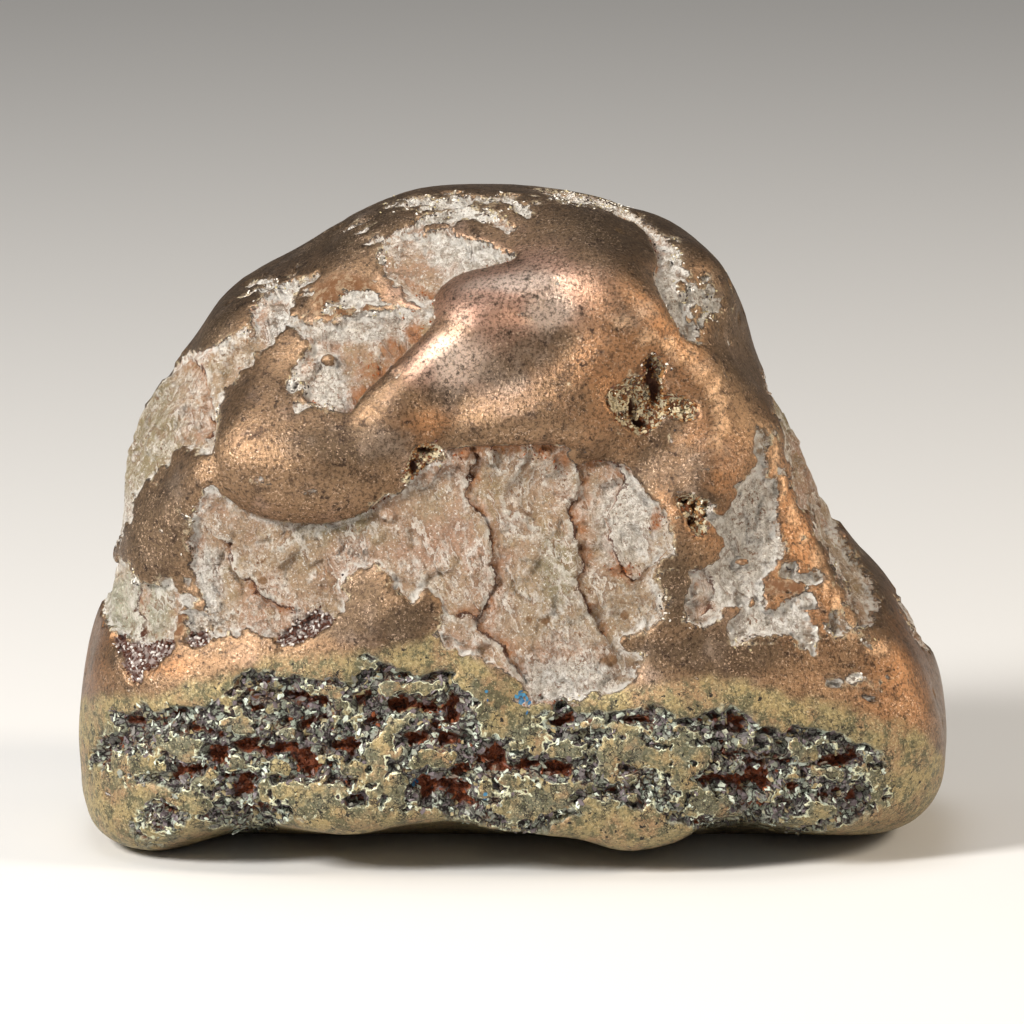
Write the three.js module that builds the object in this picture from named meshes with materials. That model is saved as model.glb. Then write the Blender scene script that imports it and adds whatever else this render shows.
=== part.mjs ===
// A domeykite nodule grown together with quartz: one bell-shaped lump with a broad foot, polished
// all over and worn smooth, as a single solid.
//
// Millimetres, +Z up. The origin is on the flat of the underside, below the middle of the lump.
// +X runs along the long side and -Y points out of the display face.
//
// The lump is a stack of rounded cross-sections, cut off below by the underside. Folds, valleys and
// hollows are then raised from that body or pressed into it, each one a soft stroke along a chain of
// points.

import * as THREE from "three";
import { mergeVertices } from "three/addons/utils/BufferGeometryUtils.js";

// Driving dimensions.
const CROWN_HEIGHT = 44.8; // top of the lump above the underside
const CENTRE = new THREE.Vector3(0, 0, 15); // every point of the surface is seen from here
const DETAIL = 20; // subdivisions of the icosahedron that carries the surface
const EDGE_ROUNDING = 2; // how softly the sides turn into the underside
const DISPLAY_TILT = THREE.MathUtils.degToRad(10); // the drawing plane of the display face leans back
const NEAREST = 1; // a ray from the centre is still inside the body at this distance
const FARTHEST = 45; // and outside it at this one
const HALVINGS = 40; // rounds of closing in on the surface between the two

// Cross-sections from the crown down: how far each reaches to the left, right, front and back.
const SECTIONS = [
  { height: 44.8, left: -2.2, right: -2.2, front: 0, back: 0 },
  { height: 44.2, left: -7.8, right: 5, front: -4.2, back: 4.8 },
  { height: 42.4, left: -11.4, right: 10.8, front: -7.6, back: 8.2 },
  { height: 40.2, left: -14.6, right: 13.8, front: -9.8, back: 10.4 },
  { height: 37.2, left: -20, right: 15.4, front: -12, back: 12.4 },
  { height: 33.5, left: -22.3, right: 16.3, front: -13.6, back: 13.9 },
  { height: 29.9, left: -25.2, right: 18.2, front: -14.6, back: 14.8 },
  { height: 26.7, left: -26.7, right: 20, front: -15.2, back: 15.3 },
  { height: 22, left: -27.2, right: 21.7, front: -15.9, back: 15.8 },
  { height: 19.4, left: -27.4, right: 23.4, front: -16.2, back: 16.2 },
  { height: 17, left: -28, right: 25.9, front: -16.5, back: 16.6 },
  { height: 12, left: -29.5, right: 28.9, front: -17.2, back: 17 },
  { height: 7.5, left: -29.9, right: 29.8, front: -17.6, back: 16.8 },
  { height: 4, left: -29.8, right: 29.5, front: -17.4, back: 16.1 },
  { height: 1.5, left: -29.6, right: 28.2, front: -16.8, back: 15 },
  { height: 0, left: -29, right: 27.4, front: -16, back: 13.6 },
];
const ROUND_SECTION = 2; // exponent of the section's outline at the crown: an ellipse
const FULL_SECTION = 3.1; // and at the foot: an ellipse with fuller corners
const FILLING = [0.1, 0.75]; // from which drop to which the one turns into the other

// The wavy lower rim: how high the underside lifts at the front and at the back, along X.
const FRONT_RIM = [
  [-30, 0],
  [-24, 0],
  [-22, 1.2],
  [-20, 3],
  [-18, 4],
  [-15, 3],
  [-11, 2.6],
  [-7.6, 3.4],
  [-4.3, 3.8],
  [-0.5, 3],
  [4, 2.6],
  [7.4, 1.4],
  [10.7, 1.9],
  [12.8, 3.2],
  [15.1, 4.4],
  [18.9, 2.8],
  [25, 2.2],
  [28, 2.8],
];
const BACK_RIM = [
  [-30, 2.4],
  [-22, 0.6],
  [-12, 2.2],
  [-3, 0.4],
  [6, 1.8],
  [16, 0.3],
  [24, 1.6],
  [30, 2.6],
];
const FRONT_RIM_Y = -14; // where the front rim has its full lift
const FRONT_REST_Y = -2; // and where the underside comes down flat, ahead of the centre of mass
const BACK_REST_Y = 9;
const BACK_RIM_Y = 14;

// Strokes on the display face. A chain is points [across, up] on the drawing plane, reach is how far
// the stroke spreads to each side, and rise is how far it stands out, or is pressed in if negative.
const FRONT_STROKES = [
  {
    name: "great lobe", reach: 5.5, rise: 1.3,
    chain: [[-17.8, 25.4], [-9.9, 25.2], [-1.5, 29.6], [6.5, 34.2], [9.4, 37.2]],
  },
  { name: "nose of the lobe", reach: 3.4, rise: 1.2, chain: [[-18.4, 26.2], [-15.5, 24.6]] },
  {
    name: "lower fold", reach: 3, rise: 0.35,
    chain: [[-10.6, 24.6], [-5.8, 26.6], [-1, 28], [3.9, 28.2], [8.7, 27.3]],
  },
  {
    name: "upper fold", reach: 2.5, rise: 1.2,
    chain: [[-11.6, 28], [-8.9, 30], [-6.2, 31.7], [-3.6, 33]],
  },
  { name: "upper dome", reach: 4.6, rise: 1.3, chain: [[-1.6, 35.6], [2.8, 36.4]] },
  {
    name: "groove under the upper fold", reach: 1.7, rise: -0.9,
    chain: [[-11.3, 26.4], [-7.2, 28.3], [-4.2, 29.5]],
  },
  {
    name: "valley between the folds", reach: 2.4, rise: -2,
    chain: [[-4, 29.6], [-0.8, 30.9], [1.7, 32.1], [3.8, 33.4]],
  },
  {
    name: "right fold", reach: 2.2, rise: 1.4,
    chain: [[5.6, 36.2], [8.9, 34.1], [11.6, 32.4], [13.8, 30], [14.2, 26.9], [13.2, 24.9]],
  },
  {
    name: "bowl inside the right fold", reach: 3, rise: -1.3,
    chain: [[9.4, 29.4], [9.9, 27.6]],
  },
  {
    name: "cleft at the shoulder", reach: 2, rise: -1.2,
    chain: [[8.3, 41.3], [10.4, 37.6], [12.5, 34.6], [14.8, 33.4]],
  },
  { name: "shoulder", reach: 3.5, rise: 0.6, chain: [[12.8, 38.8], [14.2, 36.4]] },
  {
    name: "upper left rim", reach: 2.4, rise: 0.9,
    chain: [[-20.6, 33.4], [-17.4, 36.2], [-13.9, 38.4], [-9.9, 40.6]],
  },
  {
    name: "left cleft", reach: 2.1, rise: -1.3,
    chain: [[-15.4, 36.5], [-18.4, 33], [-21.2, 28.4], [-23.4, 25]],
  },
  {
    name: "left ridge", reach: 2.3, rise: 0.9,
    chain: [[-20.6, 24.4], [-23.1, 21.3], [-24.8, 18.5]],
  },
  { name: "quartz pocket", reach: 3.1, rise: -1.6, chain: [[-8.6, 33.8], [-12.2, 31]] },
  { name: "upper quartz hollow", reach: 3, rise: -0.8, chain: [[-0.3, 40.4], [-5.8, 38.6]] },
  {
    name: "hollow under the lower fold", reach: 2.4, rise: -1.6,
    chain: [[-5.8, 24.3], [0.4, 24], [7.4, 23.8]],
  },
  { name: "central quartz face", reach: 6.5, rise: -0.6, chain: [[-1, 18], [3, 12]] },
  {
    name: "left quartz hollow", reach: 3.6, rise: -1.2,
    chain: [[-19.4, 19], [-14.6, 17.8], [-11.4, 18.8]],
  },
  { name: "bump beside the quartz", reach: 3, rise: 0.8, chain: [[-8.2, 15.6]] },
  {
    name: "left rim", reach: 2.6, rise: 0.5,
    chain: [[-27.6, 11], [-23.1, 10.8], [-17.5, 12], [-12, 13]],
  },
  {
    name: "dip above the left rim", reach: 2, rise: -0.4,
    chain: [[-25.5, 14.4], [-21.7, 13.6], [-15.8, 14.6]],
  },
  {
    name: "dip above the right rim", reach: 2.6, rise: -0.6,
    chain: [[9.4, 12.6], [14.3, 12.3], [19.8, 11.6], [24.2, 10]],
  },
  {
    name: "right rim", reach: 2.5, rise: 0.3,
    chain: [[8.7, 8.9], [17, 9.6], [23.9, 7.8], [27, 6.5]],
  },
  {
    name: "flank fold", reach: 2.1, rise: 1.2,
    chain: [[17, 26.8], [18.8, 22], [20.8, 18.5], [23.2, 14.4], [25.6, 10.3], [27.2, 6.1]],
  },
  {
    name: "flank groove", reach: 1.8, rise: -0.8,
    chain: [[19.4, 24.4], [22, 19.2], [24.6, 15.1]],
  },
  {
    name: "neck beside the quartz", reach: 2, rise: 0.7,
    chain: [[13.2, 22.7], [11.5, 18.5], [10.6, 14.4]],
  },
  { name: "right quartz hollow", reach: 2.6, rise: -0.7, chain: [[16.2, 23], [15.2, 18]] },
  { name: "notch in the rim", reach: 1.8, rise: -0.9, chain: [[15.3, 4.2], [15.3, 0.2]] },
  { name: "left notch in the rim", reach: 1.8, rise: -0.7, chain: [[-18, 3.5], [-18, 0.5]] },
];

// Strokes on the back, in plain [x, z].
const BACK_STROKES = [
  {
    name: "long rear fold", reach: 4.2, rise: 1.6,
    chain: [[-18, 22], [-9, 27], [1, 28], [10, 24]],
  },
  { name: "rear crown fold", reach: 3.6, rise: 1.2, chain: [[-11, 36], [-2, 38], [8, 36]] },
  { name: "rear valley", reach: 2.4, rise: -1.3, chain: [[-14, 31], [-4, 33], [7, 31]] },
  { name: "rear hollow", reach: 5, rise: -1.4, chain: [[-6, 19], [3, 18]] },
  { name: "rear left rib", reach: 2.3, rise: 1, chain: [[-20, 31], [-23, 22], [-26, 12]] },
  { name: "rear right rib", reach: 2.4, rise: 1.1, chain: [[13, 33], [18, 24], [24, 14]] },
  { name: "rear right cleft", reach: 1.8, rise: -1, chain: [[11, 31], [13, 22], [17, 14]] },
  {
    name: "rear rim", reach: 2.6, rise: 0.7,
    chain: [[-26, 10], [-12, 12], [4, 10], [18, 12], [27, 8]],
  },
  { name: "rear left hollow", reach: 3.4, rise: -0.9, chain: [[-17, 15], [-14, 20]] },
  { name: "rear right hollow", reach: 3, rise: -0.8, chain: [[20, 17]] },
];

// Long, shallow waves all over, so that no side is a bare ellipse: [wavelength, height, phase].
const WAVES = [
  [19, 0.25, 0.4],
  [11, 0.2, 2.1],
  [7, 0.1, 4],
];

// Strokes fade in as the surface turns to the front or the back, and out as it turns to the ground:
// from which share of the normal to which.
const FADE_IN = [0.1, 0.45];
const FADE_OUT = [0.5, 0.85];

const smooth = (low, high, x) => THREE.MathUtils.smoothstep(x, low, high);

// Value at x on a chain of [x, value] steps.
function along(steps, x) {
  const last = steps.length - 1;
  if (x <= steps[0][0]) return steps[0][1];
  if (x >= steps[last][0]) return steps[last][1];
  const i = steps.findIndex((step) => step[0] > x);
  const [x0, v0] = steps[i - 1];
  const [x1, v1] = steps[i];
  return THREE.MathUtils.lerp(v0, v1, smooth(x0, x1, x));
}

// The crown is round, so the sections are joined along the square root of the drop below it.
const drop = (height) => Math.sqrt(Math.max(0, 1 - height / CROWN_HEIGHT));
const SECTION_DROPS = SECTIONS.map((section) => drop(section.height));

// Catmull-Rom through one side of the sections.
function sectionSide(side, t) {
  const last = SECTIONS.length - 1;
  const above = SECTION_DROPS.findIndex((d) => d > t);
  const i = above < 0 ? last : Math.max(1, above);
  const value = (k) => SECTIONS[THREE.MathUtils.clamp(k, 0, last)][side];
  const place = (k) => SECTION_DROPS[THREE.MathUtils.clamp(k, 0, last)];
  const slope = (k) => (value(k + 1) - value(k - 1)) / (place(k + 1) - place(k - 1));
  const width = place(i) - place(i - 1);
  const u = THREE.MathUtils.clamp((t - place(i - 1)) / width, 0, 1);
  const u2 = u * u;
  const u3 = u2 * u;
  return (
    (2 * u3 - 3 * u2 + 1) * value(i - 1) +
    (u3 - 2 * u2 + u) * width * slope(i - 1) +
    (3 * u2 - 2 * u3) * value(i) +
    (u3 - u2) * width * slope(i)
  );
}

// Height of the underside above the ground plane at a point.
function undersideLift(x, y) {
  const front = THREE.MathUtils.clamp((FRONT_REST_Y - y) / (FRONT_REST_Y - FRONT_RIM_Y), 0, 1);
  const back = THREE.MathUtils.clamp((y - BACK_REST_Y) / (BACK_RIM_Y - BACK_REST_Y), 0, 1);
  return along(FRONT_RIM, x) * front + along(BACK_RIM, x) * back;
}

// Roughly the distance outside the body, in millimetres: negative inside.
function outside(p) {
  const t = Math.max(drop(p.z), 1e-6);
  const left = sectionSide("left", t);
  const right = sectionSide("right", t);
  const middle = (left + right) / 2;
  const halfWidth = Math.max((right - left) / 2, 1e-6);
  const halfDepth = Math.max(Math.abs(sectionSide(p.y < 0 ? "front" : "back", t)), 1e-6);
  const power = THREE.MathUtils.lerp(ROUND_SECTION, FULL_SECTION, smooth(...FILLING, t));
  const gauge = Math.pow(
    Math.pow(Math.abs(p.x - middle) / halfWidth, power) + Math.pow(Math.abs(p.y) / halfDepth, power),
    1 / power,
  );
  const side = (gauge - 1) * Math.min(halfWidth, halfDepth);
  const below = undersideLift(p.x, p.y) - p.z;
  const blend = Math.max(EDGE_ROUNDING - Math.abs(side - below), 0) / EDGE_ROUNDING;
  return Math.max(side, below) + (blend * blend * EDGE_ROUNDING) / 4;
}

function outwards(p) {
  const step = 0.05;
  const axis = (name) => {
    const ahead = p.clone();
    const behind = p.clone();
    ahead[name] += step;
    behind[name] -= step;
    return outside(ahead) - outside(behind);
  };
  return new THREE.Vector3(axis("x"), axis("y"), axis("z")).normalize();
}

// The body's surface along a ray from the centre.
function bodyPoint(direction) {
  let near = NEAREST;
  let far = FARTHEST;
  const at = (r) => CENTRE.clone().addScaledVector(direction, r);
  for (let i = 0; i < HALVINGS; i++) {
    const middle = (near + far) / 2;
    if (outside(at(middle)) < 0) near = middle;
    else far = middle;
  }
  return at((near + far) / 2);
}

// Distance on a plane from a point to a chain of points.
function distanceToChain(a, b, chain) {
  if (chain.length === 1) return Math.hypot(a - chain[0][0], b - chain[0][1]);
  let nearest = Infinity;
  for (let i = 1; i < chain.length; i++) {
    const [a0, b0] = chain[i - 1];
    const [a1, b1] = chain[i];
    const length2 = (a1 - a0) ** 2 + (b1 - b0) ** 2;
    const u = THREE.MathUtils.clamp(((a - a0) * (a1 - a0) + (b - b0) * (b1 - b0)) / length2, 0, 1);
    nearest = Math.min(nearest, Math.hypot(a - a0 - u * (a1 - a0), b - b0 - u * (b1 - b0)));
  }
  return nearest;
}

function strokesAt(strokes, a, b) {
  return strokes.reduce((sum, { reach, rise, chain }) => {
    const share = distanceToChain(a, b, chain) / reach;
    return sum + rise * Math.exp(-share * share);
  }, 0);
}

function wavesAt(p) {
  return WAVES.reduce((sum, [wavelength, height, phase]) => {
    const k = (2 * Math.PI) / wavelength;
    const wave = Math.sin(k * p.x + phase) * Math.sin(k * p.y + 2 * phase) * Math.sin(k * p.z + 3 * phase);
    return sum + height * wave;
  }, 0);
}

// How far the finished surface stands out from the body, along the body's own normal.
function relief(p, normal) {
  const up = p.z * Math.cos(DISPLAY_TILT) + p.y * Math.sin(DISPLAY_TILT);
  const facingFront = smooth(...FADE_IN, -normal.y);
  const facingBack = smooth(...FADE_IN, normal.y);
  const offUnderside = 1 - smooth(...FADE_OUT, -normal.z);
  return (
    offUnderside *
    (facingFront * strokesAt(FRONT_STROKES, p.x, up) +
      facingBack * strokesAt(BACK_STROKES, p.x, p.z) +
      wavesAt(p))
  );
}

function noduleGeometry() {
  const sphere = new THREE.IcosahedronGeometry(1, DETAIL);
  sphere.deleteAttribute("normal");
  sphere.deleteAttribute("uv");
  const geometry = mergeVertices(sphere, 1e-5);
  const position = geometry.attributes.position;
  const direction = new THREE.Vector3();
  for (let i = 0; i < position.count; i++) {
    direction.fromBufferAttribute(position, i).normalize();
    const p = bodyPoint(direction);
    const normal = outwards(p);
    p.addScaledVector(normal, relief(p, normal));
    position.setXYZ(i, p.x, p.y, p.z);
  }
  geometry.computeVertexNormals();
  return geometry;
}

const bronze = new THREE.MeshStandardMaterial({
  name: "domeykite and quartz",
  color: new THREE.Color(0.5, 0.37, 0.28),
  roughness: 0.4,
  metalness: 0.8,
});

const nodule = new THREE.Mesh(noduleGeometry(), bronze);
nodule.name = "domeykite_nodule";

const specimen = new THREE.Group();
specimen.name = "domeykite specimen";
specimen.add(nodule);

export default specimen;
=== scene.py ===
"""The finish of a polished nodule of domeykite, a copper arsenide, grown together with milky quartz.

The solid gives the broad form. Here its surface is made fine, the quartz is let into the metal with
its ledges and cracks, the foot is eaten into a porous crust with islands of bare metal, and small
crystals are strewn over the crust, the pits and the druses. Lengths in this file are millimetres
until a mesh is made. +X is to the right of the display face, -Y points out of it and +Z is up.
"""

import math
from functools import partial, reduce

import bpy
import numpy as np
from bpy.props import FloatProperty, FloatVectorProperty, IntProperty, PointerProperty
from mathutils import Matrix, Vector, noise


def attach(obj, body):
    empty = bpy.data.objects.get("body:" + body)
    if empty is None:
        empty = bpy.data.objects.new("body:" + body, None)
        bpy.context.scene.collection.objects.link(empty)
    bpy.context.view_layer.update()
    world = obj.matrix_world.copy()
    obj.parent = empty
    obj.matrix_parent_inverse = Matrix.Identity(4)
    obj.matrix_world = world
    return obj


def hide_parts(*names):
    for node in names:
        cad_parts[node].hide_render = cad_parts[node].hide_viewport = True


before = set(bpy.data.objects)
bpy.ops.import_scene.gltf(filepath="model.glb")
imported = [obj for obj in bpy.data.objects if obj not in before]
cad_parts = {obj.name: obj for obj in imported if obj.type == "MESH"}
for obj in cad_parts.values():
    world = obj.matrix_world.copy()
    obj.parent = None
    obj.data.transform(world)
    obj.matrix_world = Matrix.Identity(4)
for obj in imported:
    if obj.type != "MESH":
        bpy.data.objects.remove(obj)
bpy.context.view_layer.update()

bl_info = {
    "name": "Domeykite Specimen",
    "version": (1, 0, 0),
    "blender": (4, 5, 0),
    "location": "3D View > Sidebar > Specimen",
    "description": "Finishes a polished nodule of domeykite grown together with quartz",
    "category": "Object",
}

NODE = "domeykite_nodule"
NODULE = "domeykite_nodule_finished"
BODY = "root"
MM = 0.001  # metres in a millimetre

# The display face is drawn on a plane that leans back by this much, so that its drawings stay true to
# an eye a little above the lump. A place on it is (across, up).
DISPLAY_TILT = math.radians(10)
FAR = 4.0  # distances to a drawing are not followed further than this

REFININGS = 3  # how often the solid's long edges are halved
EDGE_SLACK = 1.4  # how many times the wanted length an edge may have before it is halved
PAIRS_AT_ONCE = 2_000_000  # places times stretches of a line that are measured together, to save memory
END_BEND = 4.5  # how far the display face's drawings are bent about on the two ends
CRUST_CELL = 0.65  # size of the crust's angular cells
FLAT_PLATE = 0.3  # grains flatter than this are broken plates with five corners
JAG_SIZE = 0.45  # how far apart the corners of plates are pushed about in different ways

# ---------------------------------------------------------------------------------------------------
# Drawings on the display face
# ---------------------------------------------------------------------------------------------------

# Quartz that shows between the folds of metal.
QUARTZ = {
    "great face": [
        (-4.4, 26.1), (3.3, 26.2), (3.5, 25.5), (4.4, 25), (5.4, 25.2), (7.5, 25), (8.1, 24.3), (8.9, 23.3),
        (9.7, 22.3), (10.3, 21.1), (10.6, 20), (10.5, 19.2), (9.5, 18.4), (9.8, 16.7), (10.6, 15.9),
        (10, 15), (8.4, 13.6), (7.4, 13.2), (7.5, 12.6), (8.2, 12.3), (8.3, 11.5), (7.5, 10), (6.4, 9.7),
        (3.7, 9.3), (3.2, 8.7), (1.7, 8.9), (0.9, 9.7), (-0.1, 10.9), (-2.1, 11.8), (-4.1, 12.6),
        (-4.8, 13.2), (-5, 15.3), (-5.5, 16.1), (-5.9, 16.8), (-6.6, 16.3), (-6.9, 15.7), (-7.6, 16.3),
        (-8.1, 17.2), (-8.9, 17.9), (-10, 18.1), (-11.4, 17.3), (-11.7, 16.7), (-11.3, 16.3), (-12.2, 14.5),
        (-14, 13.7), (-14.6, 13.3), (-17.6, 13.7), (-19.3, 13.7), (-20.6, 15.1), (-21.1, 16.3),
        (-21.9, 18.5), (-21.7, 21.6), (-21.2, 23), (-20.5, 23.5), (-19.6, 22.5), (-17.8, 21.4),
        (-15.3, 20.8), (-12.2, 20.8), (-10, 21.6), (-8.4, 22.8), (-7.5, 23), (-6.5, 24.3), (-5.7, 25),
        (-4.5, 25.6),
    ],
    "right face": [
        (16.4, 27.3), (17.1, 27.7), (17.3, 27.3), (17, 25.4), (17.6, 23.5), (17.9, 22.3), (17.9, 21.2),
        (18.2, 20.3), (18.2, 19.3), (17.3, 17.6), (16.4, 16.3), (16, 15.5), (15.3, 15.2), (14.6, 15.4),
        (13.8, 14.7), (12.1, 14.1), (11.6, 14.7), (11.9, 16.9), (12.2, 18.1), (13.8, 18.5), (13.7, 20.5),
        (12.9, 21.1), (12.8, 22), (13.3, 22.3), (14.1, 21.5), (14.7, 22.6), (15.1, 23.5), (16.1, 24.7),
        (16.4, 25.5),
    ],
    "low right face": [
        (14.6, 13.4), (14.7, 14.5), (15.7, 15.5), (16.4, 16.2), (17.6, 15.1), (18.1, 15.8), (18.9, 16.1),
        (19.7, 15.6), (20, 14.7), (20.5, 13.6), (20.5, 12.7), (20, 12.4), (18.5, 13.4), (17.4, 13.6),
        (16.3, 13.5), (15.2, 12.8),
    ],
    "right spur": [(18, 17.4), (18.5, 18.5), (19, 18.5), (19.3, 17.6), (19.8, 16.1), (19.1, 16.7)],
    "right chip": [(21.3, 14.7), (22, 14.9), (22.3, 14.2), (22, 13.5), (21.5, 13.6)],
    "right speck": [(21.3, 17.3), (21.9, 17.4), (22, 16.8), (21.4, 16.7)],
    "upper right strip": [
        (17, 31.2), (18.4, 31.6), (20, 29.6), (21.6, 26), (23, 23), (22.2, 20.4), (20.9, 20.2),
        (20.4, 20.8), (20, 21.7), (19.3, 22.3), (18.8, 24.2), (18.1, 27.2), (17.7, 28.9),
    ],
    "rightmost streak": [(26.2, 16.6), (27.4, 15.6), (29, 13), (28.2, 12.2), (27.2, 14)],
    "lower right strip": [
        (20.4, 20.3), (21.6, 21), (23.2, 19.4), (24.4, 17.3), (24.6, 16.1), (24.8, 15), (23.6, 13.8),
        (22.7, 16.3), (21.3, 19),
    ],
    "pocket": [
        (-5.9, 34.6), (-7.2, 33.3), (-8.8, 31.7), (-10.6, 29.8), (-11.1, 28.9), (-12.5, 28.8),
        (-13.8, 29.3), (-14.8, 31.6), (-14.4, 32.6), (-13.6, 33.1), (-15.3, 34.4), (-14.8, 35),
        (-12.2, 34.6), (-10.6, 35.3), (-7, 35.7), (-5.7, 35.7),
    ],
    "upper patch": [
        (-9.1, 38.8), (-8.4, 40.7), (-6.5, 41.1), (-4.2, 40.9), (-0.5, 39.8), (0, 39.3), (-1.5, 38.9),
        (-3.7, 38.4), (-4.9, 37.7), (-5.7, 36.6), (-5.8, 35.7), (-7, 36.1), (-7.9, 37.1),
    ],
    "left strip": [
        (-13.5, 37.9), (-15.5, 37.2), (-17.8, 35.6), (-17.8, 34.4), (-19.3, 33.7), (-21.3, 32.8),
        (-22.5, 32.8), (-24.8, 32), (-26.4, 29.8), (-27.6, 27.5), (-28.6, 23.7), (-29, 19), (-27.2, 19.4),
        (-25.8, 22.3), (-25.6, 23.4), (-23.8, 24.8), (-22.6, 26.4), (-20.9, 25.9), (-20.1, 29.4),
        (-18.7, 31), (-17.5, 32.4), (-15.7, 34), (-14.8, 36.7),
    ],
    "far left": [
        (-28.8, 18.4), (-26.5, 18.7), (-25.4, 17), (-24.1, 17.2), (-23.3, 17.1), (-22.7, 15.6),
        (-23.3, 13.4), (-25.8, 13), (-27.2, 13.5), (-28.6, 15.5),
    ],
    "left chip": [(-22.3, 14.5), (-21.5, 15.2), (-20.7, 14.5), (-20.6, 13.4), (-21.3, 12.9), (-22.2, 13.4)],
    "second left chip": [(-20.5, 15), (-19.8, 14.5), (-19.3, 13.6), (-20.1, 13.5)],
    "shoulder": [
        (7.5, 42.5), (8.9, 41.5), (9.6, 40.1), (9.9, 38.9), (9.6, 37.9), (10.4, 36.2), (11.6, 34),
        (12.5, 33.6), (12.3, 35), (11.8, 36.6), (11.5, 38.2), (10.8, 40.2), (8.7, 42.2),
    ],
    "first crown streak": [
        (0.9, 44), (3, 43.9), (5.9, 43.3), (8.7, 42.4), (8.3, 42), (5.8, 42.8), (3, 43.4),
    ],
    "second crown streak": [(-8.6, 42.6), (-7.6, 43.1), (-6, 43.4), (-5.8, 43), (-7, 42.6)],
    "third crown streak": [(-5.4, 42.7), (-4.6, 43.2), (-3.4, 43.3), (-3.1, 42.9), (-3.7, 42.6)],
    "fourth crown streak": [(-1.3, 43), (-0.6, 43.4), (0.4, 43.3), (-0.2, 42.8)],
    "fifth crown streak": [(0, 42.6), (0.9, 42.4), (1.5, 42), (0.6, 42)],
    "arc below the crown": [
        (-8.6, 40.6), (-7, 41.5), (-5, 42.1), (-3.1, 42.4), (-1.2, 42), (0.2, 41.1), (-0.4, 40.9),
        (-1.8, 41.5), (-3.2, 41.8), (-5.2, 41.5), (-7, 40.9), (-8, 40.3),
    ],
}

# Where the quartz is frosted over with tiny glittering crystals.
DRUSES = {
    "far left": [
        (-27.4, 13.7), (-25.8, 13), (-23.4, 13.3), (-23.2, 12.3), (-24.5, 11.3), (-25.6, 10.2),
        (-26.3, 10.8), (-26.9, 12.2),
    ],
    "under the left face": [
        (-16, 13.5), (-14, 15.2), (-12.3, 15), (-12.4, 14.1), (-14.6, 13), (-15.8, 12.9),
    ],
    "left chip": [(-22.2, 13.9), (-21, 13.9), (-20.7, 13), (-21.3, 12.6), (-22.1, 12.9)],
}

# Dark hollows with golden crystals: a vug in the right fold, a knot under the great lobe, and a row
# of pits.
VUGS = {
    "ring": [
        (6.1, 29.5), (6.8, 30.5), (7.7, 31), (8.8, 31.2), (8.6, 32), (9.2, 32.6), (9.9, 32.3), (10.2, 31.5),
        (10, 30.7), (10.4, 30), (11.4, 29.8), (12.4, 29), (12.3, 28.2), (11.5, 28), (10.7, 28),
        (10.1, 28.2), (9.8, 27.6), (9.3, 27.1), (8.4, 27), (7.7, 27.4), (7, 28), (6.3, 28.9),
    ],
    "knot": [(-6.9, 26), (-5.8, 26.6), (-4.6, 26.2), (-4.7, 25.5), (-5.7, 25), (-7, 23.5), (-7.5, 23.7)],
    "row": [(10.9, 22.9), (12.2, 23), (13.3, 22.3), (12.9, 20.4), (12.2, 20.3), (11.5, 21.3)],
}

# The porous crust of the foot.
POROUS = [
    (-27.2, 8.3), (-23.1, 8.6), (-20.1, 9), (-18.4, 11.2), (-16.9, 11), (-14, 10.7), (-10.8, 10.7),
    (-10.3, 12), (-9.5, 12.2), (-7.9, 11.3), (-6.5, 10.8), (-4.6, 11.2), (-2.8, 10.3), (-2.1, 8.9),
    (0.3, 7.9), (2.4, 8.3), (3.4, 9.1), (4.4, 8.3), (10.1, 8.6), (10.8, 7.8), (12.1, 8.2), (15.2, 8.7),
    (16.8, 7.3), (21.4, 7.1), (23.7, 6.2), (24.9, 4.9), (25.7, 3.5), (25.4, 2.1), (23.2, 1.1), (19.8, 0.2),
    (15.6, 0.6), (12.9, 0.3), (10.5, 1.1), (8.5, 1.7), (4.5, 1.8), (2.5, 0.5), (-0.5, 0.3), (-4, 1.2),
    (-7, 1.6), (-10, 1.6), (-14.8, 1.1), (-17, 0.2), (-18.9, 0), (-22, 0.9), (-23.2, -0.3), (-25.2, -0.5),
    (-26.3, 0.4), (-25.2, 2), (-23.1, 2.7), (-24.5, 3.5), (-26.5, 3.3), (-28.6, 4.4), (-28.9, 5.4),
    (-27.8, 6.5),
]

# Crisp edges where a fold of metal hangs over the quartz: how far the fold rolls down towards the
# edge, how far in that is felt, and the edge itself.
LIPS = {
    "great lobe": (
        1.4, 1.6,
        [
            (-20.8, 27.9), (-20.7, 26.1), (-20.2, 24.4), (-19.5, 22.7), (-18.2, 21.7), (-16.7, 21),
            (-14, 20.7), (-12.2, 20.8), (-10, 21.6), (-8.4, 22.8), (-7, 23.9),
        ],
    ),
    "over the great face": (0.5, 1.0, [(-4.4, 26.1), (3.3, 26.2), (4.6, 25.2), (6.7, 25.3), (8, 24.6)]),
    "pocket": (
        1.2, 1.1,
        [
            (-0.5, 39.4), (-2.6, 38.9), (-4.1, 38.3), (-5.3, 37.4), (-5.7, 36.2), (-5.9, 34.6),
            (-7.2, 33.3), (-8.8, 31.7), (-10.6, 29.8), (-11.2, 28.9),
        ],
    ),
    "shoulder": (
        0.7, 1.2,
        [(7.5, 42.5), (8.9, 41.5), (9.7, 40.1), (9.9, 38.9), (9.6, 37.9), (11, 35.1), (11.9, 33.7)],
    ),
}

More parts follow.
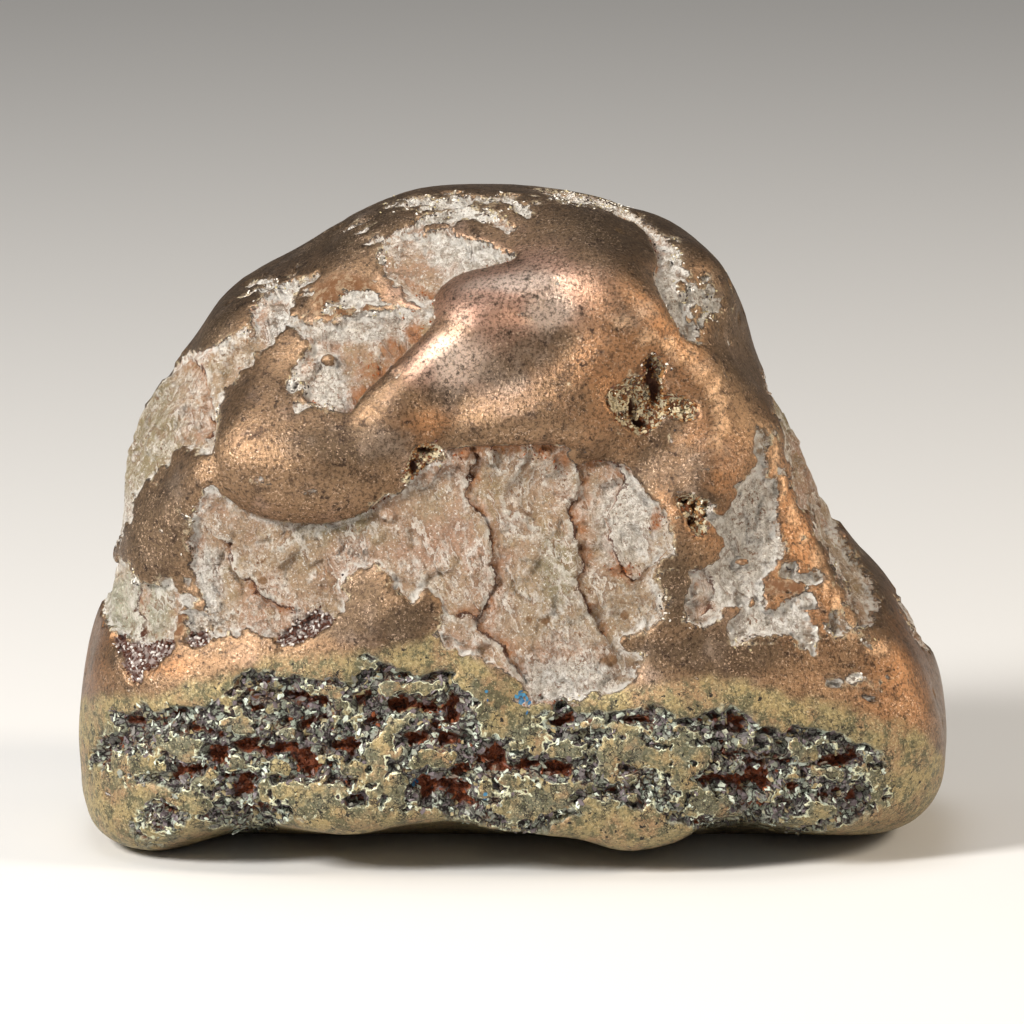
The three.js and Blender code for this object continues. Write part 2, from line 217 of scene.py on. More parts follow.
# Ledges in the quartz: height in mm, how far back the step is felt, whether the higher side is to the
# left (1) or right (-1) of the line's own direction, how brown its crack is, and the line.
LEDGES = {
    "first": (
        0.5, 2.2, 1, 0.9,
        [
            (-2.8, 26.1), (-2.6, 25.1), (-3.1, 24.1), (-3.2, 23), (-2.3, 22.1), (-1.8, 21.1), (-1.5, 19.6),
            (-1.4, 17.9), (-1.3, 17), (-1.7, 15.8), (-2.5, 14.5), (-1.7, 13.4), (-0.6, 12.5), (0.3, 11.1),
        ],
    ),
    "foot of the first": (0.2, 1, 1, 0.8, [(-5, 15.7), (-4.1, 15), (-3.2, 14.9), (-2.4, 14.5)]),
    "second": (
        0.5, 2, 1, 1.0,
        [
            (4.3, 24.9), (4.5, 23.4), (3.9, 21.9), (4.2, 19.9), (4.8, 18.5), (4.1, 17.2), (4.9, 16.1),
            (5.4, 14.5), (5.9, 13.7),
        ],
    ),
    "third": (0.3, 1.2, -1, 0.9, [(6.6, 20.1), (6.9, 19), (7.3, 18.1), (8.2, 17.4), (9.1, 18.1)]),
    "pale": (
        0.3, 1.5, 1, 0.15,
        [
            (1, 25.6), (0.3, 24.4), (-0.4, 23.5), (-0.5, 22.9), (-0.1, 22), (1.2, 21.4), (2.3, 20.1),
            (2.7, 19.1), (3.9, 17.2),
        ],
    ),
    "short": (0.25, 1, -1, 0.8, [(7.1, 25), (7.3, 24.1), (7, 23.2)]),
    "left": (
        0.4, 2.2, -1, 0.7,
        [(-20, 19.9), (-19.3, 19.1), (-18.9, 18.1), (-17.8, 16.9), (-16.4, 15.9), (-15.2, 15.4)],
    ),
    "left white": (0.25, 1.2, 1, 0.1, [(-21.8, 17.8), (-20.7, 18), (-19.5, 17.9)]),
    "left seam": (0.2, 1.2, 1, 0.2, [(-15.8, 19.6), (-13.4, 20.4), (-12.4, 20.5)]),
    "right": (0.3, 1, -1, 0.5, [(12.2, 18.1), (13.2, 17.5), (13.6, 16.1), (12.9, 15.2)]),
    "strip": (0.35, 1.2, -1, 0.6, [(-23.8, 32.6), (-22.3, 32.4), (-21, 31.2), (-20.9, 29.2), (-21.4, 27)]),
    "far left": (0.25, 0.8, 1, 0.8, [(-25.7, 18), (-25.6, 16.4), (-25.8, 14.8), (-25.5, 13.4)]),
}

# The line along the foot below which the metal is brassy, from left to right.
BRASS_LINE = [
    (-31, 8.7), (-28.5, 9.3), (-24, 9.4), (-22.4, 10.2), (-18.8, 11.2), (-16.2, 12), (-11.7, 12.3),
    (-7.7, 12.8), (-5.4, 13.6), (-3, 12.2), (0.5, 10.3), (9, 9.9), (10.8, 10.4), (12.9, 10.6), (16, 10.4),
    (19, 9.3), (21.4, 9), (24.5, 7.9), (27.5, 6.9), (29, 5.3), (31, 3),
]

# The soft spots from here on are ovals: (across, up, half width, half height).

# Where small fragments of quartz lie scattered in the metal.
FRAGMENTS = [
    (-4, 43, 5, 0.4), (-10, 41.4, 2, 0.7), (-10.4, 36, 2.4, 1.4), (-16.4, 37.4, 2.4, 0.8),
    (-9, 35.6, 3, 0.8), (4, 43, 3, 0.3), (12.9, 35.6, 1.4, 2), (24, 10.2, 1.2, 0.8), (21.8, 10.2, 0.8, 0.6),
    (14.4, 16.6, 0.8, 1.4), (-22, 16, 0.8, 1.5), (20, 16.5, 0.7, 2.4), (-14.8, 30, 0.7, 1.2),
    (1.5, 9, 2, 0.5), (-14.5, 28.6, 0.7, 0.7), (17.8, 23.6, 0.5, 1.4), (23.6, 13.4, 0.7, 0.7),
]

# Lumps of bare metal inside the quartz.
INCLUSIONS = [
    (15.5, 18.5, 0.5, 0.2), (18.2, 16.9, 1.2, 0.5), (-8.6, 36.5, 0.8, 0.5), (13.4, 36, 0.4, 0.6),
    (12, 35.2, 0.3, 0.5), (11.3, 37.2, 0.3, 0.6), (-12.6, 32.2, 0.5, 0.4),
]

# Where the edge of the quartz crumbles into grains.
CRUMBLY = [
    (-16.6, 36.6, 2, 1.2), (-18.6, 33.8, 1.6, 1.2), (-20.4, 27.6, 0.9, 3.2), (-10.5, 35.4, 3.4, 1.4),
    (-14.6, 31, 1, 2.6), (-13, 28.9, 1.4, 0.6), (-8, 38.8, 1.6, 1.6), (-4, 42.6, 7, 1.2),
    (4.5, 43.2, 5, 0.8), (12, 37, 2.4, 4.5), (16, 13.2, 2.4, 1), (20.2, 13.4, 0.8, 1), (12.2, 15.2, 1, 2),
    (10.4, 18, 1, 5), (8.6, 12.6, 1, 1.6), (8.9, 29.6, 4, 3), (-22.3, 21, 0.7, 2.6), (-25, 17.4, 2.6, 0.8),
    (18.4, 19, 0.7, 2), (-20.6, 14.4, 2.4, 1), (-12, 16.6, 1.4, 1.4), (23, 10.3, 2, 0.8),
    (22.6, 13.6, 2, 1.2), (-5, 13.4, 1, 2.4), (12, 21.8, 1.4, 1.6), (-6, 25.6, 1.6, 0.8), (-9, 22.6, 2, 1),
    (22.4, 17, 0.8, 3), (4, 9, 4, 0.6),
]

# Where the quartz is white.
WHITE = [
    (15.2, 20, 3.4, 6.5), (17.5, 14.5, 3.4, 1.8), (7.6, 21.5, 2.2, 3.4), (4, 10.4, 3.6, 1.6),
    (-20.8, 17, 1, 2.4), (-16, 34, 1, 3), (-3, 40, 4, 1.4), (-8, 42.5, 14, 1), (-27.5, 21, 1.2, 3),
    (12, 37, 3, 5), (-20, 24.5, 2, 2), (-12.6, 30.6, 1.4, 1.8), (-11, 34.2, 3.4, 0.7),
]

# Rust under the edges of the quartz and in its corners.
RUST = [
    (-2.9, 25.8, 0.9, 0.5), (-0.3, 25.9, 1.1, 0.4), (1.9, 25.8, 0.8, 0.4), (3.4, 25.2, 0.6, 0.6),
    (5.2, 24.8, 0.5, 0.3), (9.6, 21.4, 0.4, 0.7), (-9.6, 31.7, 0.9, 0.8), (-8.4, 33, 0.8, 0.9),
    (-7.1, 34.2, 0.7, 0.9), (-10.7, 30.2, 0.8, 0.7), (-15.6, 15.4, 0.5, 0.3), (7.3, 17.8, 1.1, 0.4),
    (0.4, 9.6, 0.9, 0.4), (-13.9, 29.4, 0.5, 0.3), (-6.3, 37.3, 0.6, 0.4), (2.4, 8.7, 1.2, 0.4),
]

# Islands of bare metal in the crust, the deepest pits in it, and dark channels in the vugs.
ISLANDS = [
    (-22.6, 6.1, 1.2, 0.6), (-18.5, 7.5, 0.7, 0.5), (-15.2, 6.9, 0.6, 0.5), (-25.3, 4.7, 1.8, 0.7),
    (-26.7, 2.3, 2.3, 1.8), (-20.7, 3.7, 0.7, 0.6), (-21.8, 2.1, 1, 0.6), (-19, 4.7, 0.8, 0.4),
    (-15.7, 4.7, 0.8, 0.6), (-16.9, 3.5, 0.6, 0.8), (-15.7, 3, 0.6, 0.6), (-13.5, 2.2, 2.4, 1.2),
    (-11.1, 4.5, 0.7, 0.6), (-23.1, -0.3, 1, 0.4), (-8.3, 10, 0.8, 0.6), (-6.4, 9.9, 1.2, 0.6),
    (-2.3, 10.3, 1, 0.8), (-8.2, 7.3, 0.8, 0.6), (-9.4, 5.4, 0.9, 1), (-10.6, 4.7, 1, 0.6),
    (-5.6, 5.3, 1.7, 0.6), (-0.9, 8.1, 1.5, 0.8), (1.2, 6.1, 1, 0.9), (3.2, 5.8, 1.2, 0.6),
    (6.5, 5.1, 1, 1.1), (-11.3, 2.9, 0.8, 0.5), (-10.4, 1.1, 2.5, 0.8), (-7.8, 3.4, 0.6, 0.6),
    (-1.9, 3, 0.6, 0.6), (1.5, 2.2, 1.9, 1.2), (5.9, 1.4, 1.5, 1), (8.2, 5.3, 2.2, 0.6),
    (11.3, 3.9, 1, 0.8), (12.6, 5.5, 0.8, 0.5), (19.8, 5.5, 0.7, 0.4), (21.2, 4.1, 0.8, 0.6),
    (20.6, 1.8, 1.4, 0.6), (7.8, 0.6, 2.3, 1), (27, 3, 1.8, 1.8), (19.1, 1, 1.4, 0.3), (12.9, 2, 1.8, 0.6),
]
PITS = [
    (-18.2, 6.1, 0.8, 0.6), (-14, 5, 0.7, 0.8), (-15.3, 6, 0.6, 0.3), (-12.9, 9.1, 0.8, 0.3),
    (-14.8, 9.4, 0.5, 0.2), (-17.4, 8.7, 0.6, 0.2), (-18.5, 2.8, 0.8, 0.6), (-20.1, 5.3, 0.6, 0.5),
    (-21.6, 4.5, 0.7, 0.3), (-28.1, 5.3, 0.6, 0.6), (-26.3, 7.7, 0.6, 0.3), (-7.8, 8.9, 0.8, 0.5),
    (-9.5, 7.8, 0.8, 0.5), (-4.5, 6.6, 0.6, 0.5), (-6.6, 6.7, 0.5, 0.3), (-1.2, 5.6, 0.6, 0.7),
    (-4.4, 3.4, 0.4, 0.3), (-5.9, 2.8, 0.6, 0.6), (-10.6, 2.5, 0.7, 0.4), (3.2, 7.8, 0.9, 0.3),
    (2.6, 4.5, 0.7, 0.6), (-10.9, 6.2, 0.6, 0.3), (8.2, 7.9, 1, 0.3), (15.5, 7.9, 0.4, 0.3),
    (16.4, 3.8, 1.1, 0.6), (12.2, 5, 0.4, 0.3), (18.7, 3.1, 0.7, 0.5), (22.1, 4.9, 0.7, 0.5),
    (18, 7.1, 0.8, 0.3),
]
CHANNELS = [
    (9.4, 31.1, 0.35, 0.9), (9.7, 30, 0.25, 0.6), (6.4, 29.2, 0.15, 0.6), (8.3, 28.8, 0.2, 0.7),
    (8.7, 27.8, 0.4, 0.3), (-5.9, 25.9, 0.5, 0.2), (-6.6, 24.8, 0.2, 0.5), (12.2, 22.2, 0.2, 0.4),
    (12, 21.2, 0.35, 0.3), (11.4, 22.7, 0.3, 0.2),
]

# Patches with a tone of their own. Each is named after the mark that it leaves on the surface.
PATCHES = {
    # Brown, greenish and khaki stains on the quartz.
    "brown": [
        (6.4, 11.8, 0.7, 0.5), (7.5, 14.8, 0.3, 0.4), (6.6, 15, 0.25, 0.2), (5.9, 14.1, 0.3, 0.35),
        (1, 14.6, 0.3, 0.25), (2.2, 14.5, 0.4, 0.25), (-17, 17.2, 0.4, 0.3),
    ],
    "green": [(-26, 15.6, 3, 2.6)],
    "khaki": [(-26, 27, 3.4, 7), (-12, 21, 3, 1.2), (19, 29, 1, 2), (3, 18, 1.6, 3)],
    # Broad coppery, pink and dark clouds on the metal, and where it is stained brown and dull.
    # The dark clouds are partly tarnish and partly painted shade: in the valley between the lobes, and on
    # spots where a highlight would fall. The pink oval on the great lobe and the coppery ovals at the left
    # end of the foot are partly painted highlight.
    "copper": [
        (8.5, 31.5, 5, 5.5), (12.5, 24, 3, 5), (19.5, 20, 4, 8), (26, 12, 3, 6), (-6, 27.4, 2, 1.2),
        (-28.6, 12.6, 1.6, 3.6), (-24, 11.6, 3, 1),
    ],
    "pink": [(-0.5, 36.4, 6.5, 3.6), (-4.5, 32, 3, 2.4)],
    "dark": [
        (7.5, 41.2, 5.5, 2.4), (-11.5, 41, 5, 2.2), (14.9, 34, 2.2, 5.5), (-20.6, 33.8, 2.4, 3.4),
        (20.7, 19, 0.5, 2.2), (14, 12.3, 6.5, 1.7), (10.7, 17, 1.8, 3.5), (24.3, 16, 1.8, 5),
        (-24, 20.6, 2.8, 4), (3, 33.7, 1.6, 0.9), (1.4, 32.7, 2, 1.2), (-1.2, 31.3, 2.2, 1),
        (-4.4, 29.7, 2.4, 0.8), (-10.5, 16, 2.6, 2), (-7.5, 14.5, 2, 1.4), (11.2, 24.6, 1.6, 2.4),
        (-11, 26.5, 4, 1.4), (-12, 14.5, 3.5, 1.2), (-25.5, 12, 3, 1), (9.6, 27.4, 2.2, 1.2),
        (-10, 43, 4, 1.4), (-14.5, 40.4, 3, 1.4), (-18.6, 37.6, 2, 1.4), (8.6, 23.6, 1.2, 1.2),
        (12.5, 22.6, 2, 0.8), (9.8, 25.4, 1.8, 1.8), (19.9, 24.6, 1, 2.6), (21.8, 18.4, 1, 2.4),
    ],
    "stained": [(-11.4, 36.4, 2.6, 1.9), (-23, 14.6, 1, 1.6), (17.8, 16.7, 1.6, 0.6), (19, 16, 0.8, 2)],
    # Painted highlights on the polished metal: on the crest of the great lobe, and along the fold beside the
    # vug and the crest of the right fold.
    "bright": [(-4, 32.4, 1.8, 2), (2.4, 35.4, 1.6, 1.2), (0, 37.2, 3, 0.7)],
    "glow": [
        (7.2, 34.6, 1.1, 0.5), (9, 33.7, 1, 0.7), (10.4, 33.1, 0.9, 0.7), (11.6, 32.3, 0.9, 0.8),
        (12.6, 31.3, 0.8, 0.9), (13.4, 30.2, 0.7, 0.9), (13.9, 29, 0.6, 1), (14, 27.8, 0.6, 1),
        (13.6, 26.6, 0.6, 0.8), (17.6, 25.4, 0.3, 1.2), (18.2, 23.6, 0.3, 1.2), (18.8, 21.7, 0.4, 1.2),
        (19.6, 20.1, 0.4, 1), (20.4, 18.6, 0.4, 1.1), (21, 17, 0.4, 1.1), (21.8, 15.4, 0.4, 1.1),
        (22.8, 13.8, 0.5, 0.9), (24.6, 12.6, 0.9, 0.5),
    ],
    # Specks of azurite.
    "azurite": [
        (-1.8, 9.5, 0.5, 0.3), (0.4, 9.6, 0.4, 0.4), (0.8, 8.9, 0.3, 0.4), (-2, 2.6, 0.3, 0.2),
        (-6.7, 3.4, 0.3, 0.2), (-5.7, 4.2, 0.4, 0.2), (-4.9, 8.4, 0.2, 0.2),
    ],
    # Where the crystals of the vugs are pale and set close.
    "gilt": [
        (7.3, 29.5, 1.1, 1.2), (7.6, 27.7, 1.2, 0.4), (11.4, 28.7, 1, 0.5), (10, 28.2, 0.5, 0.4),
        (9.9, 32.1, 0.3, 0.5),
    ],
}

# ---------------------------------------------------------------------------------------------------
# Drawings on the back, as (x, z)
# ---------------------------------------------------------------------------------------------------

BACK_QUARTZ = {
    "rear face": [
        (-14, 12.5), (-16, 16), (-13, 19), (-12.5, 22.5), (-8, 24.5), (-4, 22.8), (0, 23.8), (5, 22),
        (8, 23.5), (9.5, 19), (7, 16.5), (8.5, 13.8), (4, 12.4), (0, 13.6), (-4, 11.8), (-9, 13),
    ],
    "rear valley": [
        (-15, 29), (-12, 33), (-7, 35), (-2, 34.6), (1, 33), (-2, 32.2), (-6, 32.8), (-9, 31), (-11, 28),
    ],
    "rear seam": [(2, 33.3), (6, 32), (9.5, 29.5), (9, 29), (5.5, 31.2)],
    "rear right cleft": [
        (11, 35), (13.6, 31), (14.8, 25), (17, 19), (19.5, 15), (17.5, 14), (13.5, 20), (12, 26),
        (10.8, 31),
    ],
    "rear left patch": [(-22, 12.5), (-24, 18), (-22, 23), (-20, 20), (-18.5, 15)],
    "rear crown patch": [(-8, 39.5), (-3, 41.5), (1, 40.9), (5, 42), (3, 39.4), (-3, 38.6)],
    "rear low streak": [(12, 12.5), (16, 13), (21, 12), (17, 11.4)],
}
BACK_POROUS = [
    (-24, 8.5), (-17, 10.5), (-12, 9), (-9, 9.4), (-5, 11.5), (-2, 11), (3, 8.6), (7, 9), (15, 10.2),
    (19, 8.4), (22, 8), (25, 4.5), (22, 1.5), (12, 0), (0, 0.6), (-12, 0), (-22, 1.5), (-26, 4),
]
BACK_BRASS_HEIGHT = 11.5

# ---------------------------------------------------------------------------------------------------
# What a user would change
# ---------------------------------------------------------------------------------------------------


def amount(name, default, description, **limits):
    """A number that a user may change."""
    return FloatProperty(name=name, default=default, description=description, **limits)


def paint(name, default, description):
    """A colour that a user may change."""
    return FloatVectorProperty(name=name, default=default, description=description, subtype="COLOR")


class SpecimenSurface(bpy.types.PropertyGroup):
    finest_edge: amount("Finest edge", 0.22, "Edge length along crisp steps and in the foot, in mm", min=0.1)
    quartz_edge: amount("Quartz edge", 0.24, "Edge length inside the quartz, in mm", min=0.1)
    metal_edge: amount("Metal edge", 0.55, "Edge length on the polished metal, in mm", min=0.1)
    quartz_depth: amount("Quartz depth", 0.13, "How far the quartz lies below the metal, in mm", min=0.0)
    raggedness: amount("Raggedness", 0.45, "How far the quartz's edge wanders from its line, in mm", min=0.0)


class SpecimenMetal(bpy.types.PropertyGroup):
    polish: amount("Roughness", 0.35, "Roughness of the polished metal", min=0.0, max=1.0)
    pink: paint("Pink metal", (0.51, 0.305, 0.225), "Colour of freshly polished domeykite")
    tan: paint("Tan metal", (0.285, 0.18, 0.106), "Colour of lightly tarnished domeykite")
    copper: paint("Copper metal", (0.39, 0.202, 0.10), "Colour of the coppery folds on the right")
    brass: paint("Brassy metal", (0.40, 0.31, 0.15), "Colour of the ground metal of the foot")
    tarnish: paint("Tarnish", (0.055, 0.036, 0.026), "Colour of the dark specks and clouds")


class SpecimenGrains(bpy.types.PropertyGroup):
    crust_size: amount("Crust plates", 0.25, "Radius of the small plates of the crust, in mm", min=0.05)
    crust_density: amount("Crust density", 5.6, "Plates to a square millimetre", min=0.0)
    druse_size: amount("Druse crystals", 0.16, "Radius of the glittering crystals, in mm", min=0.02)
    crumb_size: amount("Edge crumbs", 0.115, "Radius of the grains at the quartz's edges, in mm", min=0.02)
    crumb_density: amount("Crumb density", 20.0, "Grains to a square millimetre of crumbling edge", min=0.0)
    seed: IntProperty(name="Seed", description="Another number strews the grains another way", default=7)


class SpecimenStudio(bpy.types.PropertyGroup):
    camera_distance: amount("Camera distance", 0.6, "From the camera to the lump", unit="LENGTH")
    view_width: amount("View width", 0.0708, "What the picture takes in, at the lump", unit="LENGTH")
    floor_radius: amount("Floor radius", 2.0, "Radius of the pale floor", unit="LENGTH")


# ---------------------------------------------------------------------------------------------------
# Small mathematics
# ---------------------------------------------------------------------------------------------------


def smoothstep(low, high, x):
    t = np.clip((x - low) / (high - low), 0, 1)
    return t * t * (3 - 2 * t)


def lumps(points, size, seed, octaves=1):
    """Noise of about -1 to 1 at each point, with lumps of the given size in mm."""
    places = points / size + np.array([13.7, 7.1, 29.3]) * seed
    return np.array([noise.fractal(place, 1.0, 2.0, octaves) for place in places.tolist()])


def rounded(corners, closed, steps=3):
    """A Catmull-Rom curve through the corners."""
    corners = np.array(corners, float)
    count = len(corners)
    spans = count if closed else count - 1

    def corner(i):
        return corners[i % count] if closed else corners[min(max(i, 0), count - 1)]

    curve = []
    for i in range(spans):
        a, b, c, d = corner(i - 1), corner(i), corner(i + 1), corner(i + 2)
        for t in np.arange(steps) / steps:
            square = (2 * a - 5 * b + 4 * c - d) * t**2
            cube = (3 * b - 3 * c + d - a) * t**3
            curve.append(0.5 * (2 * b + (c - a) * t + square + cube))
    if not closed:
        curve.append(corners[-1])
    return np.array(curve)


def line_distance(places, line):
    """Distance from each place to the line, and which side of its nearest stretch the place is on."""
    start = line[:-1]
    step = line[1:] - start
    distance = np.full(len(places), FAR)
    side = np.ones(len(places))
    low, high = line.min(0) - FAR, line.max(0) + FAR
    near = np.flatnonzero(((places > low) & (places < high)).all(1))
    for part in np.array_split(near, max(1, len(near) * len(step) // PAIRS_AT_ONCE)):
        offset = places[part][:, None, :] - start[None]
        share = np.clip((offset * step).sum(2) / (step * step).sum(1), 0, 1)
        gap = offset - share[..., None] * step
        reach = (gap * gap).sum(2)
        nearest = reach.argmin(1)
        rows = np.arange(len(part))
        distance[part] = np.minimum(np.sqrt(reach[rows, nearest]), FAR)
        ahead, away = step[nearest], offset[rows, nearest]
        side[part] = np.where(ahead[:, 0] * away[:, 1] - ahead[:, 1] * away[:, 0] < 0, -1.0, 1.0)
    return distance, side


def inside(places, outline):
    """Whether each place lies inside the closed outline."""
    within = np.zeros(len(places), bool)
    near = np.flatnonzero(((places > outline.min(0)) & (places < outline.max(0))).all(1))
    x, y = places[near, 0], places[near, 1]
    crossings = np.zeros(len(near), int)
    for (x0, y0), (x1, y1) in zip(outline, np.roll(outline, -1, axis=0)):
        if y0 != y1:
            crossings += ((y0 > y) != (y1 > y)) & (x < x0 + (y - y0) * (x1 - x0) / (y1 - y0))
    within[near] = crossings % 2 == 1
    return within


def depth_within(places, shapes):
    """How far each place lies within the nearest of the shapes: negative outside them all."""
    depth = np.full(len(places), -FAR)
    for corners in shapes:
        outline = rounded(corners, closed=True)
        distance, _ = line_distance(places, np.vstack([outline, outline[:1]]))
        depth = np.maximum(depth, np.where(inside(places, outline), distance, -distance))
    return depth


def spots(places, ovals, spread=1.0):
    """A soft hill of height 1 at each oval."""
    hills = np.zeros(len(places))
    for across, up, half_width, half_height in ovals:
        far = ((places[:, 0] - across) / half_width) ** 2 + ((places[:, 1] - up) / half_height) ** 2
        hills = np.maximum(hills, np.exp(-far / spread))
    return hills


def on_display(points):
    """Each point's place on the drawing plane of the display face."""
    up = points[:, 2] * math.cos(DISPLAY_TILT) + points[:, 1] * math.sin(DISPLAY_TILT)
    return np.stack([points[:, 0], up], axis=1)


# ---------------------------------------------------------------------------------------------------
# Meshes
# ---------------------------------------------------------------------------------------------------


def places_of(mesh):
    """The places of the mesh's points, in mm."""
    places = np.empty(len(mesh.vertices) * 3)
    mesh.vertices.foreach_get("co", places)
    return places.reshape(-1, 3) / MM


def merged_node():
    """Points in mm and triangles of the CAD solid, with its doubled corners joined."""
    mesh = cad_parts[NODE].data
    mesh.calc_loop_triangles()
    corners = np.empty(len(mesh.loop_triangles) * 3, int)
    mesh.loop_triangles.foreach_get("vertices", corners)
    points, joined = np.unique(np.round(places_of(mesh), 4), axis=0, return_inverse=True)
    triangles = joined.reshape(-1)[corners].reshape(-1, 3)
    whole = (triangles != np.roll(triangles, 1, axis=1)).all(axis=1)
    return points, triangles[whole]


def edges_of(triangles):
    """The edges, and for each triangle the edges that follow its first, second and third corner."""
    pairs = np.sort(np.stack([triangles, np.roll(triangles, -1, axis=1)], axis=2), axis=2).reshape(-1, 2)
    edges, own = np.unique(pairs, axis=0, return_inverse=True)
    return edges, own.reshape(-1, 3)


def split_long_edges(points, triangles, wanted):
    """Halves each edge longer than is wanted there, and cuts up the triangles beside it."""
    edges, own = edges_of(triangles)
    middles = points[edges].mean(axis=1)
    lengths = np.linalg.norm(points[edges[:, 0]] - points[edges[:, 1]], axis=1)
    long = lengths > wanted(middles) * EDGE_SLACK
    middle_of = np.full(len(edges), -1)
    middle_of[long] = len(points) + np.arange(long.sum())
    middle = middle_of[own]
    cuts = (middle >= 0).sum(axis=1)

    def turned(rows, first):
        """The corners and the cut edges of these triangles, told from the given corner on."""
        order = (first[:, None] + np.arange(3)) % 3
        return np.take_along_axis(triangles[rows], order, 1).T, np.take_along_axis(middle[rows], order, 1).T

    made = [triangles[cuts == 0]]
    one = np.flatnonzero(cuts == 1)
    (a, b, c), (ab, _, _) = turned(one, (middle[one] >= 0).argmax(axis=1))
    made += [np.stack([a, ab, c], 1), np.stack([ab, b, c], 1)]
    two = np.flatnonzero(cuts == 2)
    (a, b, c), (ab, bc, _) = turned(two, ((middle[two] < 0).argmax(axis=1) + 1) % 3)
    made += [np.stack([ab, b, bc], 1), np.stack([a, ab, bc], 1), np.stack([a, bc, c], 1)]
    three = np.flatnonzero(cuts == 3)
    (a, b, c), (ab, bc, ca) = turned(three, np.zeros(len(three), int))
    made += [np.stack(t, 1) for t in ((a, ab, ca), (ab, b, bc), (ca, bc, c), (ab, bc, ca))]
    return np.vstack([points, middles[long]]), np.vstack(made)


def summed(rows, values, count):
    """The sums of the values that belong to each of the rows."""
    return np.stack([np.bincount(rows, values[:, k], count) for k in range(values.shape[1])], axis=1)


def smoothed(points, triangles, rounds):
    """Moves each point half way to the mean of its neighbours, with the flat underside kept flat."""
    flat = points[:, 2] < 1e-4
    edges, _ = edges_of(triangles)
    ends, others = np.concatenate([edges, edges[:, ::-1]]).T
    neighbours = np.bincount(ends, minlength=len(points))[:, None]
    for _ in range(rounds):
        points = 0.5 * points + 0.5 * (summed(ends, points[others], len(points)) / neighbours)
        points[flat, 2] = 0
    return points


def normals_of(points, triangles):
    a, b, c = (points[triangles[:, k]] for k in range(3))
    faces = np.cross(b - a, c - a)
    total = summed(triangles.reshape(-1), np.repeat(faces, 3, axis=0), len(points))
    return total / np.linalg.norm(total, axis=1, keepdims=True)


def mesh_from(name, points, triangles):
    """A smooth-shaded mesh in metres."""
    mesh = bpy.data.meshes.new(name)
    mesh.vertices.add(len(points))
    mesh.vertices.foreach_set("co", (points * MM).astype(np.float32).reshape(-1))
    mesh.loops.add(triangles.size)
    mesh.loops.foreach_set("vertex_index", triangles.astype(np.int32).reshape(-1))
    mesh.polygons.add(len(triangles))
    mesh.polygons.foreach_set("loop_start", np.arange(0, triangles.size, 3, dtype=np.int32))
    mesh.update(calc_edges=True)
    mesh.validate()
    mesh.shade_smooth()
    return mesh


def add_marks(mesh, marks):
    for name, values in marks.items():
        attribute = mesh.attributes.new(name, "FLOAT", "POINT")
        attribute.data.foreach_set("value", values.astype(np.float32))


# ---------------------------------------------------------------------------------------------------
# What the surface is made of, and its relief
# ---------------------------------------------------------------------------------------------------


def wanted_edges(settings):
    """A function from points to the length of edge that the surface needs there."""
    finest, quartz, metal = settings.finest_edge, settings.quartz_edge, settings.metal_edge
    drawings = [*QUARTZ.values(), *VUGS.values(), *DRUSES.values()]

    def wanted(points):
        front = points[:, 1] < 0
        length = np.full(len(points), metal * 1.25)
        places = on_display(points[front])
        depth = depth_within(places, drawings)
        near = np.where(depth > 0.5, quartz, metal)
        near = np.where(np.abs(depth) < 0.5, finest * 1.1, near)
        length[front] = np.where(depth_within(places, [POROUS]) > -0.6, finest, near)
        places = points[~front][:, [0, 2]]
        depth = depth_within(places, BACK_QUARTZ.values())
        near = np.where(np.abs(depth) < 0.6, finest * 1.8, metal * 1.2)
        length[~front] = np.where(depth_within(places, [BACK_POROUS]) > 0, finest * 1.7, near)
        length[points[:, 2] < 0.1] = metal * 1.6
        return length

    return wanted


def fine_surface(settings):
    points, triangles = merged_node()
    wanted = wanted_edges(settings)
    for _ in range(REFININGS):
        points, triangles = split_long_edges(points, triangles, wanted)
        points = smoothed(points, triangles, rounds=3)
    return points, triangles


def steps_of(places, ledges, wander):
    """Height of the drawn ledges, distance to the nearest one (positive on its high side), its stain."""
    height = np.zeros(len(places))
    nearest = np.full(len(places), FAR)
    stain = np.zeros(len(places))
    for rise, reach, side, brown, line in ledges.values():
        distance, turn = line_distance(places, rounded(line, closed=False))
        across = distance * turn * -side + wander
        behind = np.clip(across, 0, None)
        height += rise * smoothstep(-0.06, 0.1, across) * np.exp(-behind / reach) * (distance < FAR)
        closer = (distance < FAR) & (np.abs(across) < np.abs(nearest))
        nearest[closer] = across[closer]
        stain[closer] = brown
    return height, nearest, stain


